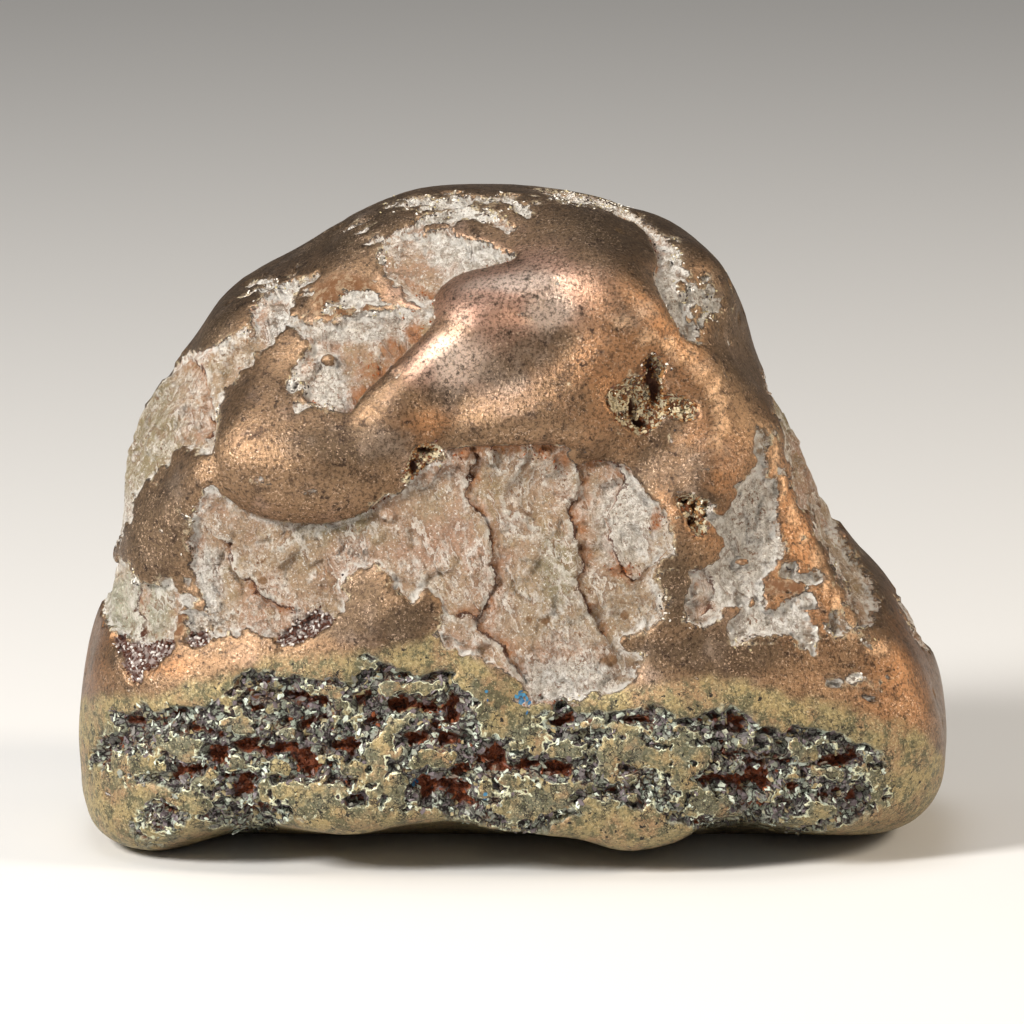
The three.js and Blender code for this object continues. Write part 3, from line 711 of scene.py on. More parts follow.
def mineral_marks(points, normals, settings):
    """What shows at every point, as marks by name, and what only the relief needs. Lengths are in mm."""
    toward = -normals[:, 1] * math.cos(DISPLAY_TILT) + normals[:, 2] * math.sin(DISPLAY_TILT)
    away = smoothstep(0.0, -0.3, toward)
    front = smoothstep(-0.45, -0.25, toward + (0.25 + 0.45 * away) * lumps(points, 5, 18, 3))
    display = on_display(points)
    # On the two ends the drawing is bent about, or its patches would stop in straight lines.
    bend = np.stack([lumps(points, 8, 22, 4), lumps(points, 7, 23, 4)], axis=1)
    bent = display + END_BEND * away[:, None] * bend
    rear = points[:, [0, 2]] + 1.6 * np.stack([lumps(points, 4, 19, 3), lumps(points, 4, 20, 3)], axis=1)

    lips = {name: line_distance(display, rounded(lip[-1], closed=False))[0] for name, lip in LIPS.items()}
    lip_distance = np.min(list(lips.values()), axis=0)
    calm = smoothstep(0.3, 1.6, lip_distance)
    ragged = settings.raggedness * (lumps(points, 1.1, 1, 3) + 0.5 * lumps(points, 0.45, 2, 2))

    # The quartz: its drawn faces without the lumps of metal in them, and the fragments around them.
    quartz = depth_within(bent, QUARTZ.values()) + ragged * (0.15 + 0.85 * calm)
    inclusions = spots(display, INCLUSIONS) + 0.25 * lumps(points, 0.7, 3, 2)
    quartz = np.minimum(quartz, (0.45 - inclusions) * 1.5)
    scattered = spots(display, FRAGMENTS, spread=1.4)
    along = points * np.array([0.5, 1, 1.5])
    quartz = np.maximum(quartz, (scattered + 1.1 * lumps(along, 1.0, 16, 3) - 0.85) * 0.9)
    back_quartz = depth_within(rear, BACK_QUARTZ.values()) + 1.6 * ragged
    quartz = quartz * front + back_quartz * (1 - front)

    # The crust: solid islands and the noise stand above a threshold, pits sink below it.
    band = depth_within(display, [POROUS]) * front + depth_within(rear, [BACK_POROUS]) * (1 - front)
    band += 0.5 * lumps(points, 1.2, 15, 3)
    x, y, z = points.T
    stretch = np.stack([x * 0.75 + z * 0.5, y, z * 1.5 - x * 0.2], 1)
    mottle = 0.9 * lumps(stretch, 2.2, 4, 4) + 0.7 * lumps(points, 0.7, 5, 3)
    solid = mottle + 1.3 * spots(display, ISLANDS) * front - 1.4 * spots(display, PITS) * front
    solid += np.clip(-band * 1.2, 0, 3) - 0.42 + 0.25 * (1 - front)
    pit = smoothstep(0.55, 1.45, -solid) * smoothstep(0.0, 0.7, band)

    top = np.interp(display[:, 0], *np.array(BRASS_LINE).T)
    wander = 0.35 * lumps(points, 1.5, 6, 2) + 0.2 * lumps(points, 0.5, 7, 2)
    steps, ledge, stain = steps_of(display, LEDGES, wander)
    stain *= 0.25 + 0.9 * smoothstep(-0.5, 0.3, lumps(points, 1.6, 17, 2))
    # Painted shade on the quartz right under the metal's lips, carried in the rust mark along with real rust.
    shade_under_lip = 0.9 * np.exp(-((lip_distance / 0.25) ** 2)) * (quartz > 0)
    marks = {
        "quartz": quartz,
        "vug": (depth_within(display, VUGS.values()) + 0.5 * ragged) * front - FAR * (1 - front),
        "druse": (depth_within(display, DRUSES.values()) + 0.7 * ragged) * front - FAR * (1 - front),
        "porous": band,
        "solid": solid,
        "pit": np.maximum(pit, spots(display, CHANNELS) * front),
        "brass": (top - display[:, 1]) * front + (BACK_BRASS_HEIGHT - z) * (1 - front),
        "rust": np.maximum(0.9 * spots(display, RUST, spread=2), shade_under_lip) * front,
        "ledge": np.where(front > 0.5, ledge, FAR),
        "stain": stain * front,
        "crumbly": np.where(front > 0.5, spots(display, CRUMBLY), 0.45),
        "white": np.maximum(spots(display, WHITE), scattered) * front,
    }
    marks |= {name: spots(display, ovals) * front for name, ovals in PATCHES.items()}
    return marks, {"front": front, "steps": steps * front, "lips": lips, "lip_distance": lip_distance}


def plates(points, size, seed):
    """Facets of broken plates: each cell of a Voronoi pattern is a small plane with its own tilt."""
    height = np.empty(len(points))
    for i, place in enumerate((points / size + seed).tolist()):
        _, near = noise.voronoi(place)
        cell = near[0]
        tilt = noise.cell_vector(cell * 97.0) - Vector((0.5, 0.5, 0.5))
        height[i] = (Vector(place) - cell).dot(tilt) + 0.5 * (noise.cell(cell * 41.0) - 0.5)
    return height * size


# Heights and depths of the relief, in mm.
METAL_SWELL = 0.25  # how far the metal rises behind its crisp edges
SOFT_EDGE = 0.06  # how far it falls at the other edges
QUARTZ_ROUGHNESS = 0.13
QUARTZ_PLATES = 0.3
QUARTZ_CHIPS = 0.12
RUST_DEPTH = 0.15
CRACK_DEPTH = 0.17
CRACK_WIDTH = 0.2
VUG_DEPTH = 0.25
CHANNEL_DEPTH = 1.1
DRUSE_DEPTH = 0.3
CRUST_DEPTH = 0.25
PIT_DEPTH = 0.8
PLATE_HEIGHT = 0.75  # of a plate's height, how much shows


def relief(points, marks, form, settings):
    """How far the finished surface stands out from the smooth one, in mm."""
    in_quartz = smoothstep(-0.05, 0.22, marks["quartz"])
    in_vug = smoothstep(-0.05, 0.3, marks["vug"])
    in_druse = smoothstep(-0.1, 0.2, marks["druse"])
    metal = (1 - in_quartz) * (1 - in_vug) * (1 - in_druse)

    # Folds of metal roll down to a crisp edge, and the quartz is deepest beside the edge.
    roll = np.zeros(len(points))
    shade = np.zeros(len(points))
    for name, (drop, reach, _) in LIPS.items():
        distance = form["lips"][name]
        roll = np.maximum(roll, drop * np.exp(-((distance / reach) ** 1.2)) * form["front"])
        shade = np.maximum(shade, drop * np.exp(-distance / reach) * form["front"])
    soft_edge = SOFT_EDGE * np.exp(marks["quartz"].clip(-FAR, 0) / 0.35)
    height = metal * (METAL_SWELL * (1 - np.exp(-form["lip_distance"] / 2)) - 0.35 * roll - soft_edge)

    # The quartz is broken in plates of two sizes, stepped at the ledges and cracked along them.
    rough = QUARTZ_ROUGHNESS * lumps(points, 1.8, 9, 4)
    broken = np.flatnonzero(in_quartz > 0)
    chips = QUARTZ_CHIPS * plates(points[broken], 0.6, 8.0)
    rough[broken] += QUARTZ_PLATES * plates(points[broken], 1.5, 5.0) + chips
    sunk = settings.quartz_depth + 0.8 * shade
    cracked = marks["stain"] * np.exp(-((marks["ledge"] / CRACK_WIDTH) ** 2))
    eroded = form["steps"] + rough - RUST_DEPTH * marks["rust"] - CRACK_DEPTH * cracked
    height += in_quartz * (-sunk + eroded)

    height -= in_vug * (VUG_DEPTH + 0.35 * smoothstep(0.1, 0.8, marks["vug"]) + CHANNEL_DEPTH * marks["pit"])
    height -= in_vug * 0.2 * lumps(points, 0.5, 10, 2)
    height -= in_druse * DRUSE_DEPTH

    # The crust drops from the islands in small broken plates, and falls away into the pits.
    eaten = smoothstep(0.0, 0.2, -marks["solid"]) * smoothstep(-0.1, 0.15, marks["porous"])
    touched = np.flatnonzero(eaten > 0)
    flakes = np.zeros(len(points))
    flakes[touched] = plates(points[touched], 0.62, 11.0)
    hollow = CRUST_DEPTH + 0.4 * smoothstep(0.1, 1.0, -marks["solid"]) + PIT_DEPTH * marks["pit"]
    height -= eaten * (hollow - PLATE_HEIGHT * flakes)
    height += 0.05 * lumps(points, 5.0, 12, 2) * metal
    underside = points[:, 2] < 0.05  # nothing may stand out of it
    return np.where(underside, np.minimum(height, 0), height)


# ---------------------------------------------------------------------------------------------------
# Nodes
# ---------------------------------------------------------------------------------------------------


class Nodes:
    """The nodes of a material or of a Geometry Nodes tree, made by short calls."""

    def __init__(self, tree):
        self.tree = tree

    def put(self, value, socket):
        """Links another node's output to the socket, or sets the socket to a plain value."""
        if isinstance(value, bpy.types.NodeSocket):
            self.tree.links.new(value, socket)
        elif socket.type == "RGBA" and len(value) == 3:
            socket.default_value = (*value, 1)
        else:
            socket.default_value = value

    def add(self, kind, inputs=None, **settings):
        """A new node. Its settings come first, because they decide which inputs it has."""
        node = self.tree.nodes.new(kind)
        for key, value in settings.items():
            setattr(node, key, value)
        for socket, value in (inputs or {}).items():
            self.put(value, node.inputs[socket])
        return node


def folded(operation):
    """A method that joins any number of values by the operation."""
    return lambda shader, *values: reduce(partial(shader.sum, operation), values)


class Shader(Nodes):
    """A material. Places in it are the object's own, in mm, and a text stands for the mark of that name."""

    times = folded("MULTIPLY")
    plus = folded("ADD")
    most = folded("MAXIMUM")

    def __init__(self, name):
        self.material = bpy.data.materials.new(name)
        self.material.use_nodes = True
        super().__init__(self.material.node_tree)
        place = self.add("ShaderNodeTexCoord").outputs["Object"]
        scaled = self.add("ShaderNodeVectorMath", {0: place, "Scale": 1 / MM}, operation="SCALE")
        self.place = scaled.outputs[0]
        self.noises = {}

    def put(self, value, socket):
        if isinstance(value, str):
            value = self.add("ShaderNodeAttribute", attribute_name=value).outputs["Fac"]
        super().put(value, socket)

    def finish(self, **surface):
        """Sets the finish of the surface and gives back the material."""
        for name, value in surface.items():
            self.put(value, self.tree.nodes["Principled BSDF"].inputs[name.replace("_", " ").title()])
        return self.material

    def sum(self, operation, *values):
        """Any one operation of the Math node."""
        return self.add("ShaderNodeMath", dict(enumerate(values)), operation=operation).outputs[0]

    def scaled(self, value, gain, start):
        """The value times the gain, plus the start."""
        return self.sum("MULTIPLY_ADD", value, gain, start)

    def off(self, value, middle):
        """How far the value is from the middle."""
        return self.sum("ABSOLUTE", self.sum("SUBTRACT", value, middle))

    def step(self, value, low, high, start=0.0, end=1.0):
        """Goes smoothly from start to end while the value goes from low to high."""
        inputs = {"Value": value, "From Min": low, "From Max": high, "To Min": start, "To Max": end}
        return self.add("ShaderNodeMapRange", inputs, interpolation_type="SMOOTHSTEP").outputs["Result"]

    def noise(self, size, octaves=2.0, roughness=0.5, stretch=None, turn=0.0):
        """Noise of 0 to 1 with lumps of the given size. One node serves every call that says the same."""
        key = (size, octaves, roughness, stretch, turn)
        if key not in self.noises:
            place = self.place
            if stretch:
                inputs = {"Vector": place, "Rotation": (0, turn, 0), "Scale": stretch}
                place = self.add("ShaderNodeMapping", inputs, vector_type="TEXTURE").outputs[0]
            inputs = {"Vector": place, "Scale": 1 / size, "Detail": octaves, "Roughness": roughness}
            self.noises[key] = self.add("ShaderNodeTexNoise", inputs).outputs["Fac"]
        return self.noises[key]

    def swing(self, width, *kind):
        """Noise of the kind about 0, over the given width."""
        return self.scaled(self.noise(*kind), width, -width / 2)

    def patchy(self, low, high, *kind, share=1.0):
        """Patches where noise of the kind is high, of the given share, and 0 between them."""
        return self.step(self.noise(*kind), low, high, 0, share)

    def cells(self, size):
        """Angular cells: a random value for each one, and the distance to its edge in cell widths."""
        wander = self.add("ShaderNodeTexNoise", {"Vector": self.place, "Scale": 1.3 / size, "Detail": 3})
        inputs = {0: wander.outputs["Color"], 1: (1.2 * size,) * 3, 2: self.place}
        moved = self.add("ShaderNodeVectorMath", inputs, operation="MULTIPLY_ADD").outputs[0]
        inputs = {"Vector": moved, "Scale": 1 / size}
        own = self.add("ShaderNodeTexVoronoi", inputs, feature="F1").outputs["Color"]
        edge = self.add("ShaderNodeTexVoronoi", inputs, feature="DISTANCE_TO_EDGE").outputs["Distance"]
        return self.add("ShaderNodeSeparateColor", {0: own}).outputs[0], edge

    def mix(self, share, a, b):
        """The colour a, with the given share of the colour b."""
        inputs = {"Factor": share, "A": a, "B": b}
        return self.add("ShaderNodeMix", inputs, data_type="RGBA").outputs["Result"]

    def coated(self, colour, *coats):
        """The colour under its coats, each laid over the ones before it: (share, colour)."""
        for share, coat in coats:
            colour = self.mix(share, colour, coat)
        return colour

    def bump(self, height, distance, strength=1.0, under=None):
        """A surface that the height lifts by up to the distance in mm, on top of another such surface."""
        inputs = {"Height": height, "Distance": distance * MM, "Strength": strength}
        if under:
            inputs["Normal"] = under
        return self.add("ShaderNodeBump", inputs).outputs["Normal"]


# ---------------------------------------------------------------------------------------------------
# Materials
# ---------------------------------------------------------------------------------------------------

# Noises that many layers share: size in mm, octaves and roughness.
DUST_AND_GLINTS = (0.17, 3, 0.75)
SAND = (0.23, 4, 0.75)
FRECKLES = (0.5, 4, 0.7)
SPOTS = (0.7, 4, 0.7)
BLOTCHES = (0.8, 4, 0.7)
PATCHED = (1.8, 3)

# On the edges of the flakes this colour is a painted highlight.
FROST_AND_HIGHLIGHT = (0.90, 0.85, 0.78)  # colour of the quartz's fibres and the edges of its flakes


def metal_colour(s, look):
    """Tarnished domeykite: pink and tan clouds, coppery on the right, mottled, with dark specks, painted
    highlights on the crests, painted glints in pale specks, and painted shade in some dark clouds.
    """
    tone = s.swing(1.6, 4, 5, 0.65)

    def cloud(name, share=1.0):
        return s.step(s.plus(name, tone), 0.0, 0.8, 0, share)

    # Painted highlight along the crest of the fold beside the vug and of the right fold, broken up by noise.
    glow = s.step(s.plus("glow", s.swing(1.6, 0.9, 4, 0.7)), 0.25, 0.9, 0, 0.8)
    broken = s.step(s.noise(0.3, 3, 0.7), 0.4, 0.6, 0.35, 1.0)
    grouped = s.step(s.noise(1.5, 4, 0.65), 0.42, 0.6, 0.15, 0.65)
    stain = s.mix(s.patchy(0.47, 0.62, *FRECKLES), (0.24, 0.105, 0.04), (0.42, 0.29, 0.18))
    return s.coated(
        look.tan,
        # The pink cloud is the metal's own tone, and on the great lobe it is partly a painted highlight.
        (cloud("pink"), look.pink),
        # The coppery clouds are the metal's own tone. At the left end of the foot they are also a painted
        # highlight on the left rim.
        (cloud("copper"), look.copper),
        # Dark clouds: partly tarnish, partly painted shade in the valley between the lobes and over spots
        # where a highlight would fall.
        (cloud("dark", 0.8), (0.12, 0.085, 0.055)),
        (s.patchy(0.5, 0.72, 3.2, 5, 0.62, share=0.45), look.tarnish),
        (s.patchy(0.52, 0.66, 1.2, 5, 0.7, share=0.6), look.tarnish),
        # Painted highlight on the crest of the great lobe.
        (cloud("bright", 0.6), (0.80, 0.66, 0.55)),
        (s.times(glow, broken), (0.84, 0.55, 0.34)),
        (s.patchy(0.47, 0.6, *SAND, share=0.7), look.tarnish),
        (s.patchy(0.62, 0.67, 0.6, 3, 0.6, share=0.65), (0.03, 0.02, 0.018)),
        # Painted glints: pale specks in groups that stand in for sparkle on the polished metal.
        (s.times(s.patchy(0.54, 0.66, *DUST_AND_GLINTS), grouped), (0.80, 0.58, 0.42)),
        (s.step(s.plus("stained", s.times(tone, 0.6)), 0.3, 0.7), stain),
    )


def brass_colour(s, look, tone, edge):
    """Ground metal of the foot: matt brass with grey-green stains, cracks, hairs and dark specks."""
    greyed = s.times(s.step("porous", -0.6, 0.5), s.patchy(0.4, 0.56, 1.6, 4, 0.6), 0.9)
    cracked = s.times(s.step("porous", -1.0, 0.3), s.patchy(0.46, 0.54, 1.2, 3))
    hair = s.step(s.off(s.noise(1.3, 5, 0.65), 0.5), 0.006, 0.02, 1, 0)
    near = s.times(s.step("porous", -3, 0, 0.4, 1.0), s.patchy(0.47, 0.58, *PATCHED))
    return s.coated(
        look.brass,
        (s.patchy(0.42, 0.62, 2.2, 4), (0.37, 0.24, 0.13)),
        (s.step(tone, 0.55, 0.75, 0, 0.45), (0.26, 0.23, 0.125)),
        (greyed, (0.15, 0.16, 0.115)),
        (s.patchy(0.49, 0.6, *BLOTCHES, share=0.9), (0.12, 0.115, 0.065)),
        (s.patchy(0.49, 0.6, *SAND, share=0.6), (0.07, 0.057, 0.033)),
        (s.patchy(0.54, 0.66, *DUST_AND_GLINTS, share=0.55), (0.78, 0.66, 0.40)),
        (s.times(s.step(edge, 0.015, 0.05, 1, 0), cracked), (0.03, 0.024, 0.02)),
        (s.patchy(0.64, 0.67, 0.5, 3, 0.6), (0.025, 0.022, 0.02)),
        (s.times(hair, near), (0.035, 0.03, 0.025)),
    )


def terraces(s):
    """Thin broken flakes of quartz: how far down its flake a place is, and where the flakes show."""
    level = s.times(s.noise(3.6, 5, 0.55, stretch=(0.6, 1.2, 1.3), turn=-0.3), 5.5)
    return s.sum("FRACT", level), s.patchy(0.42, 0.52, *PATCHED)


def veins(s):
    """Thin white fibres in the quartz, in two sizes."""
    found = []
    for size, turn, share in ((1.5, -0.35, 1.0), (0.55, 0.25, 0.8)):
        wave = s.noise(size, 5, 0.62, stretch=(0.7, 1, 1.2), turn=turn)
        found.append(s.step(s.off(wave, 0.5), 0, 0.03, share, 0))
    return s.most(*found)


def quartz_colour(s, flake, flaky, fibres):
    """Milky quartz: pink, cream, khaki and white clouds, fibres, flakes with brown edges of rust stain and
    painted shade, painted highlights on their upper edges, and specks.
    """
    tone = s.swing(1.4, 1.4, 5, 0.65)

    def cloud(name):
        return s.step(s.plus(name, tone), 0.1, 0.7)

    sugary = s.patchy(0.45, 0.57, 0.4, 6, 0.8)
    milky = s.patchy(0.46, 0.6, 2.2, 4, 0.65)
    dirty = s.step(s.noise(2.2, 3), 0.4, 0.6, 0.15, 1.0)
    return s.coated(
        (0.44, 0.305, 0.185),
        (s.patchy(0.42, 0.62, 4.5, 4), (0.48, 0.28, 0.18)),
        (s.patchy(0.54, 0.7, 1.7, 4, 0.6, share=0.6), (0.35, 0.24, 0.10)),
        (cloud("khaki"), (0.31, 0.245, 0.13)),
        (cloud("green"), (0.42, 0.405, 0.295)),
        (cloud("white"), s.mix(sugary, (0.47, 0.415, 0.35), (0.90, 0.86, 0.81))),
        (s.times(milky, sugary, 0.75), (0.82, 0.74, 0.64)),
        (s.times(fibres, s.scaled(milky, 0.3, 0.08)), FROST_AND_HIGHLIGHT),
        (s.patchy(0.51, 0.62, *SAND, share=0.65), (0.23, 0.14, 0.075)),
        (s.patchy(0.57, 0.65, *DUST_AND_GLINTS, share=0.85), (0.97, 0.94, 0.88)),
        # Brown at the foot of each flake's step: rust stain and painted shade.
        (s.times(s.step(flake, 0.72, 1, 0, 0.6), flaky), (0.21, 0.10, 0.045)),
        # Painted highlight on the upper edge of each flake's step.
        (s.times(s.step(flake, 0.02, 0.2, 0.65, 0), flaky), FROST_AND_HIGHLIGHT),
        (s.times(s.patchy(0.57, 0.62, 0.35, 4, 0.75, share=0.95), dirty), (0.20, 0.085, 0.025)),
        (s.patchy(0.65, 0.7, *FRECKLES, share=0.85), (0.27, 0.10, 0.025)),
    )


def ledges_coloured(s, colour):
    """Beside each ledge: ripples, a painted highlight on the rim above, rust below, a dark crack between, and
    brown patches; and the rust mark, painted shade under the lips included.
    """
    wander = s.swing(0.7, 0.4, 4, 0.7)
    ledge = s.plus("ledge", wander)
    ripple = s.sum("PINGPONG", s.scaled(ledge, 1.5, s.noise(1.2, 3)), 0.5)
    near = s.times(s.step(s.off(ledge, 0), 0.6, 3, 1, 0), s.patchy(0.4, 0.6, *PATCHED))
    rim = s.times(s.step(ledge, 0.02, 0.1), s.step(ledge, 0.15, 0.6, 0.9, 0))
    rust = s.times(s.step(ledge, -0.9, 0.0), s.step(ledge, -0.02, 0.06, 1, 0))
    rust = s.times(rust, s.step(s.noise(*BLOTCHES), 0.36, 0.6, 0.35, 1.0), "stain")
    # The rust mark holds real rust at its spots and painted shade right under the metal's lips.
    frayed = s.plus("rust", s.swing(2.4, 0.9, 5, 0.75))
    core = s.times(s.step(s.off(ledge, 0), 0.03, 0.11, 1.6, 0), "stain")
    return s.coated(
        colour,
        (s.times(s.step(ripple, 0.02, 0.14, 0.6, 0), near), (0.80, 0.74, 0.66)),
        # Painted highlight on the rim above each ledge.
        (s.times(rim, s.patchy(0.42, 0.6, *BLOTCHES)), (0.80, 0.75, 0.67)),
        # These two layers paint the rust mark rust-brown, and near black where it is highest: real rust, and
        # painted shade under the lips.
        (s.most(rust, s.step(frayed, 0.3, 1.0, 0, 0.85)), (0.40, 0.15, 0.042)),
        (s.most(s.step(core, 0, 1), s.step(frayed, 1.0, 1.25)), (0.10, 0.03, 0.01)),
        (s.step(s.scaled(wander, 2.0, "brown"), 0.35, 0.6, 0, 0.9), (0.24, 0.12, 0.045)),
    )


def crust_colour(s, tone, edge):
    """Weathered crust: grey-green and violet-grey plates, rusty red in the pits, with painted highlights on
    the cells' rims and painted shade in the gaps between them.
    """
    rim_highlights = s.times(s.step(edge, 0.1, 0.16), s.step(edge, 0.18, 0.26, 0.6, 0))
    deep = s.mix(s.patchy(0.47, 0.64, *FRECKLES), (0.27, 0.065, 0.02), (0.05, 0.018, 0.012))
    return s.coated(
        (0.13, 0.10, 0.11),
        (s.step(tone, 0.3, 0.4), (0.23, 0.21, 0.215)),
        (s.step(tone, 0.5, 0.6), (0.31, 0.33, 0.26)),
        (s.step(tone, 0.66, 0.7), (0.36, 0.30, 0.16)),
        (s.step(tone, 0.78, 0.84), (0.57, 0.64, 0.54)),
        (s.patchy(0.5, 0.6, 0.4, 3, 0.65), (0.04, 0.027, 0.025)),
        (s.patchy(0.53, 0.62, 1.5, 3, 0.6, share=0.85), (0.19, 0.06, 0.022)),
        # Painted highlight on the rims of the cells.
        (rim_highlights, (0.40, 0.45, 0.35)),
        # Painted shade in the gaps between the cells.
        (s.step(edge, 0.04, 0.12, 1, 0), (0.025, 0.017, 0.016)),
        (s.step("pit", 0.1, 0.5), deep),
    )


def nodule_material(look):
    """The whole lump: metal and brass below, then what lies over them, from the quartz to the crust."""
    s = Shader("domeykite and quartz")
    fray = s.swing(0.5, 0.3, 3, 0.6)
    crumbly = s.step("crumbly", 0.3, 0.9)
    edge = s.plus("quartz", s.scaled(crumbly, 0.12, fray))
    in_quartz = s.step(edge, 0.0, 0.06)
    in_brass = s.step(s.plus("brass", s.swing(1.2, 1.5, 3)), -0.5, 0.5)
    in_band = s.step("porous", -0.15, 0.1)
    hollow = s.sum("SUBTRACT", fray, "solid")
    in_crust = s.times(in_band, s.step(hollow, 0.0, 0.06))
    in_vug = s.step(s.plus("vug", fray), 0.0, 0.12)
    in_druse = s.step(s.plus("druse", fray), 0.0, 0.12)
    stained = s.step("stained", 0.3, 0.7)

    # The metal beside the quartz and the crust, with a painted highlight on the rims of the foot's islands
    # and a thin line of painted shade where the quartz steps down.
    crumbs = s.times(s.step(edge, -0.16, -0.03), s.patchy(0.52, 0.62, 1.1, 4, 0.7))
    fringe = s.times(s.step(edge, -0.3, -0.05), s.patchy(0.42, 0.54, 0.35, 4, 0.75))
    fringe = s.times(fringe, s.scaled(crumbly, 0.6, 0.1))
    fringes = s.mix(s.patchy(0.46, 0.54, 0.5, 3, 0.7), (0.075, 0.05, 0.033), (0.52, 0.42, 0.27))
    # Painted highlight on the rims of the islands of metal in the crust.
    rim_highlights = s.times(in_band, s.step(hollow, -0.13, -0.02), s.patchy(0.42, 0.56, 0.6, 2))
    # A thin dark line of painted shade along the metal's edge where the quartz steps down, broken into
    # patches.
    outline = s.times(s.step(edge, -0.09, -0.02), s.patchy(0.42, 0.54, *SPOTS))

    # The quartz, its frosted rim, and the bites out of its crumbling edges.
    flake, flaky = terraces(s)
    fibres = veins(s)
    frost = s.times(s.step(edge, 0.05, 0.12), s.step(edge, 0.2, 0.65, 0.9, 0))
    frost = s.times(frost, s.patchy(0.42, 0.54, 0.7, 5, 0.7), s.step("rust", 0.1, 0.45, 1, 0))
    bitten = s.step(s.noise(0.8, 4, 0.7, stretch=(1.7, 1, 0.6)), 0.54, 0.59, 0, 0.8)
    bites = s.mix(s.noise(0.4, 3), (0.06, 0.035, 0.02), (0.34, 0.23, 0.14))

    vug = s.coated(
        (0.17, 0.06, 0.02),
        (s.patchy(0.46, 0.52, *SPOTS), (0.62, 0.54, 0.37)),
        (s.patchy(0.5, 0.6, 0.3, 3, 0.7), (0.05, 0.03, 0.015)),
        (s.step("pit", 0.15, 0.5), (0.08, 0.025, 0.01)),
    )
    cell_tone, cell_edge = s.cells(CRUST_CELL)
    colour = s.coated(
        metal_colour(s, look),
        (in_brass, brass_colour(s, look, cell_tone, cell_edge)),
        (crumbs, (0.66, 0.56, 0.38)),
        (fringe, fringes),
        (rim_highlights, (0.74, 0.75, 0.54)),
        (outline, (0.04, 0.027, 0.02)),
        (in_quartz, ledges_coloured(s, quartz_colour(s, flake, flaky, fibres))),
        (frost, (0.90, 0.86, 0.80)),
        (s.times(bitten, crumbly, in_quartz), bites),
        (in_druse, s.mix(s.patchy(0.4, 0.6, 0.4, 3), (0.07, 0.026, 0.018), (0.3, 0.24, 0.22))),
        (in_vug, vug),
        (in_crust, crust_colour(s, cell_tone, cell_edge)),
    )

    # Whatever isn't bare metal is duller and not metallic.
    stone = s.most(in_quartz, in_crust, in_vug, in_druse, s.times(stained, 0.8), fringe, crumbs, outline)
    metallic = s.times(s.sum("SUBTRACT", 1.0, stone), s.sum("SUBTRACT", 1.0, s.times(in_brass, 0.35)))
    rough = s.scaled(s.noise(0.6, 4, 0.7), 0.3, look.polish - 0.15)
    rough = s.scaled("dark", 0.18, s.scaled(in_brass, 0.12, rough))

    # Grain on everything, then chips, fibres and flakes where the surface is rugged.
    normal = s.bump(s.noise(*DUST_AND_GLINTS), 0.16, s.step(stone, 0, 1, 0.45, 1.0))
    normal = s.bump(s.noise(0.45, 6, 0.75), 0.34, s.most(in_quartz, in_crust, stained), normal)
    normal = s.bump(fibres, 0.035, in_quartz, normal)
    normal = s.bump(flake, -0.24, s.times(flaky, in_quartz), normal)
    rough = s.scaled(stone, 0.05, rough)
    return s.finish(base_color=colour, metallic=metallic, roughness=rough, normal=normal)


def crust_material():
    """Violet-grey to grey-green plates, a few brassy and the last ones pale, and red ones in the pits."""
    s = Shader("crust plates")
    colour = s.coated(
        (0.15, 0.12, 0.13),
        (s.step("tint", 0.3, 0.6), (0.26, 0.28, 0.225)),
        (s.step("tint", 0.6, 0.64), (0.36, 0.29, 0.15)),
        (s.step("tint", 0.72, 0.82), (0.64, 0.71, 0.61)),
        (s.step("deep", 0.1, 0.5), s.mix("tint", (0.05, 0.015, 0.01), (0.22, 0.06, 0.025))),
        (s.patchy(0.54, 0.64, 0.25, 3, share=0.7), (0.08, 0.06, 0.05)),
    )
    return s.finish(base_color=colour, roughness=0.38, normal=s.bump(s.noise(0.12, 2), 0.05, 0.7))


def crumb_material():
    """White, yellow and dark grains, and rusty ones where the quartz is rusty."""
    s = Shader("edge crumbs")
    rusty = s.mix(s.step("tint", 0.4, 0.6), (0.32, 0.09, 0.02), (0.10, 0.028, 0.012))
    colour = s.coated(
        (0.80, 0.76, 0.69),
        (s.step("tint", 0.5, 0.52), (0.50, 0.42, 0.24)),
        (s.step("tint", 0.72, 0.74), (0.045, 0.032, 0.028)),
        (s.step("rusty", 0.2, 0.4), rusty),
    )
    return s.finish(base_color=colour, roughness=0.75)


def druse_material():
    """Dark and pale crystals in the druses, brown and golden ones in the vugs, mostly gilt in places."""
    s = Shader("druse crystals")
    gilt = s.mix(s.step("tint", 0.2, 0.3), (0.20, 0.085, 0.03), (0.66, 0.56, 0.37))
    golden = s.coated(
        (0.14, 0.045, 0.014),
        (s.step("tint", 0.25, 0.5), (0.34, 0.18, 0.07)),
        (s.step("tint", 0.72, 0.78), (0.60, 0.50, 0.32)),
        (s.step("golden", 1.3, 1.6), gilt),
    )
    colour = s.coated(
        (0.09, 0.033, 0.02),
        (s.step("tint", 0.55, 0.8), (0.66, 0.61, 0.57)),
        (s.step("golden", 0, 1), golden),
    )
    return s.finish(base_color=colour, roughness=0.2)


def coloured_grains(name, dark, light, roughness):
    s = Shader(name)
    return s.finish(base_color=s.mix("tint", dark, light), roughness=roughness)


# ---------------------------------------------------------------------------------------------------
# Grains strewn over the surface
# ---------------------------------------------------------------------------------------------------


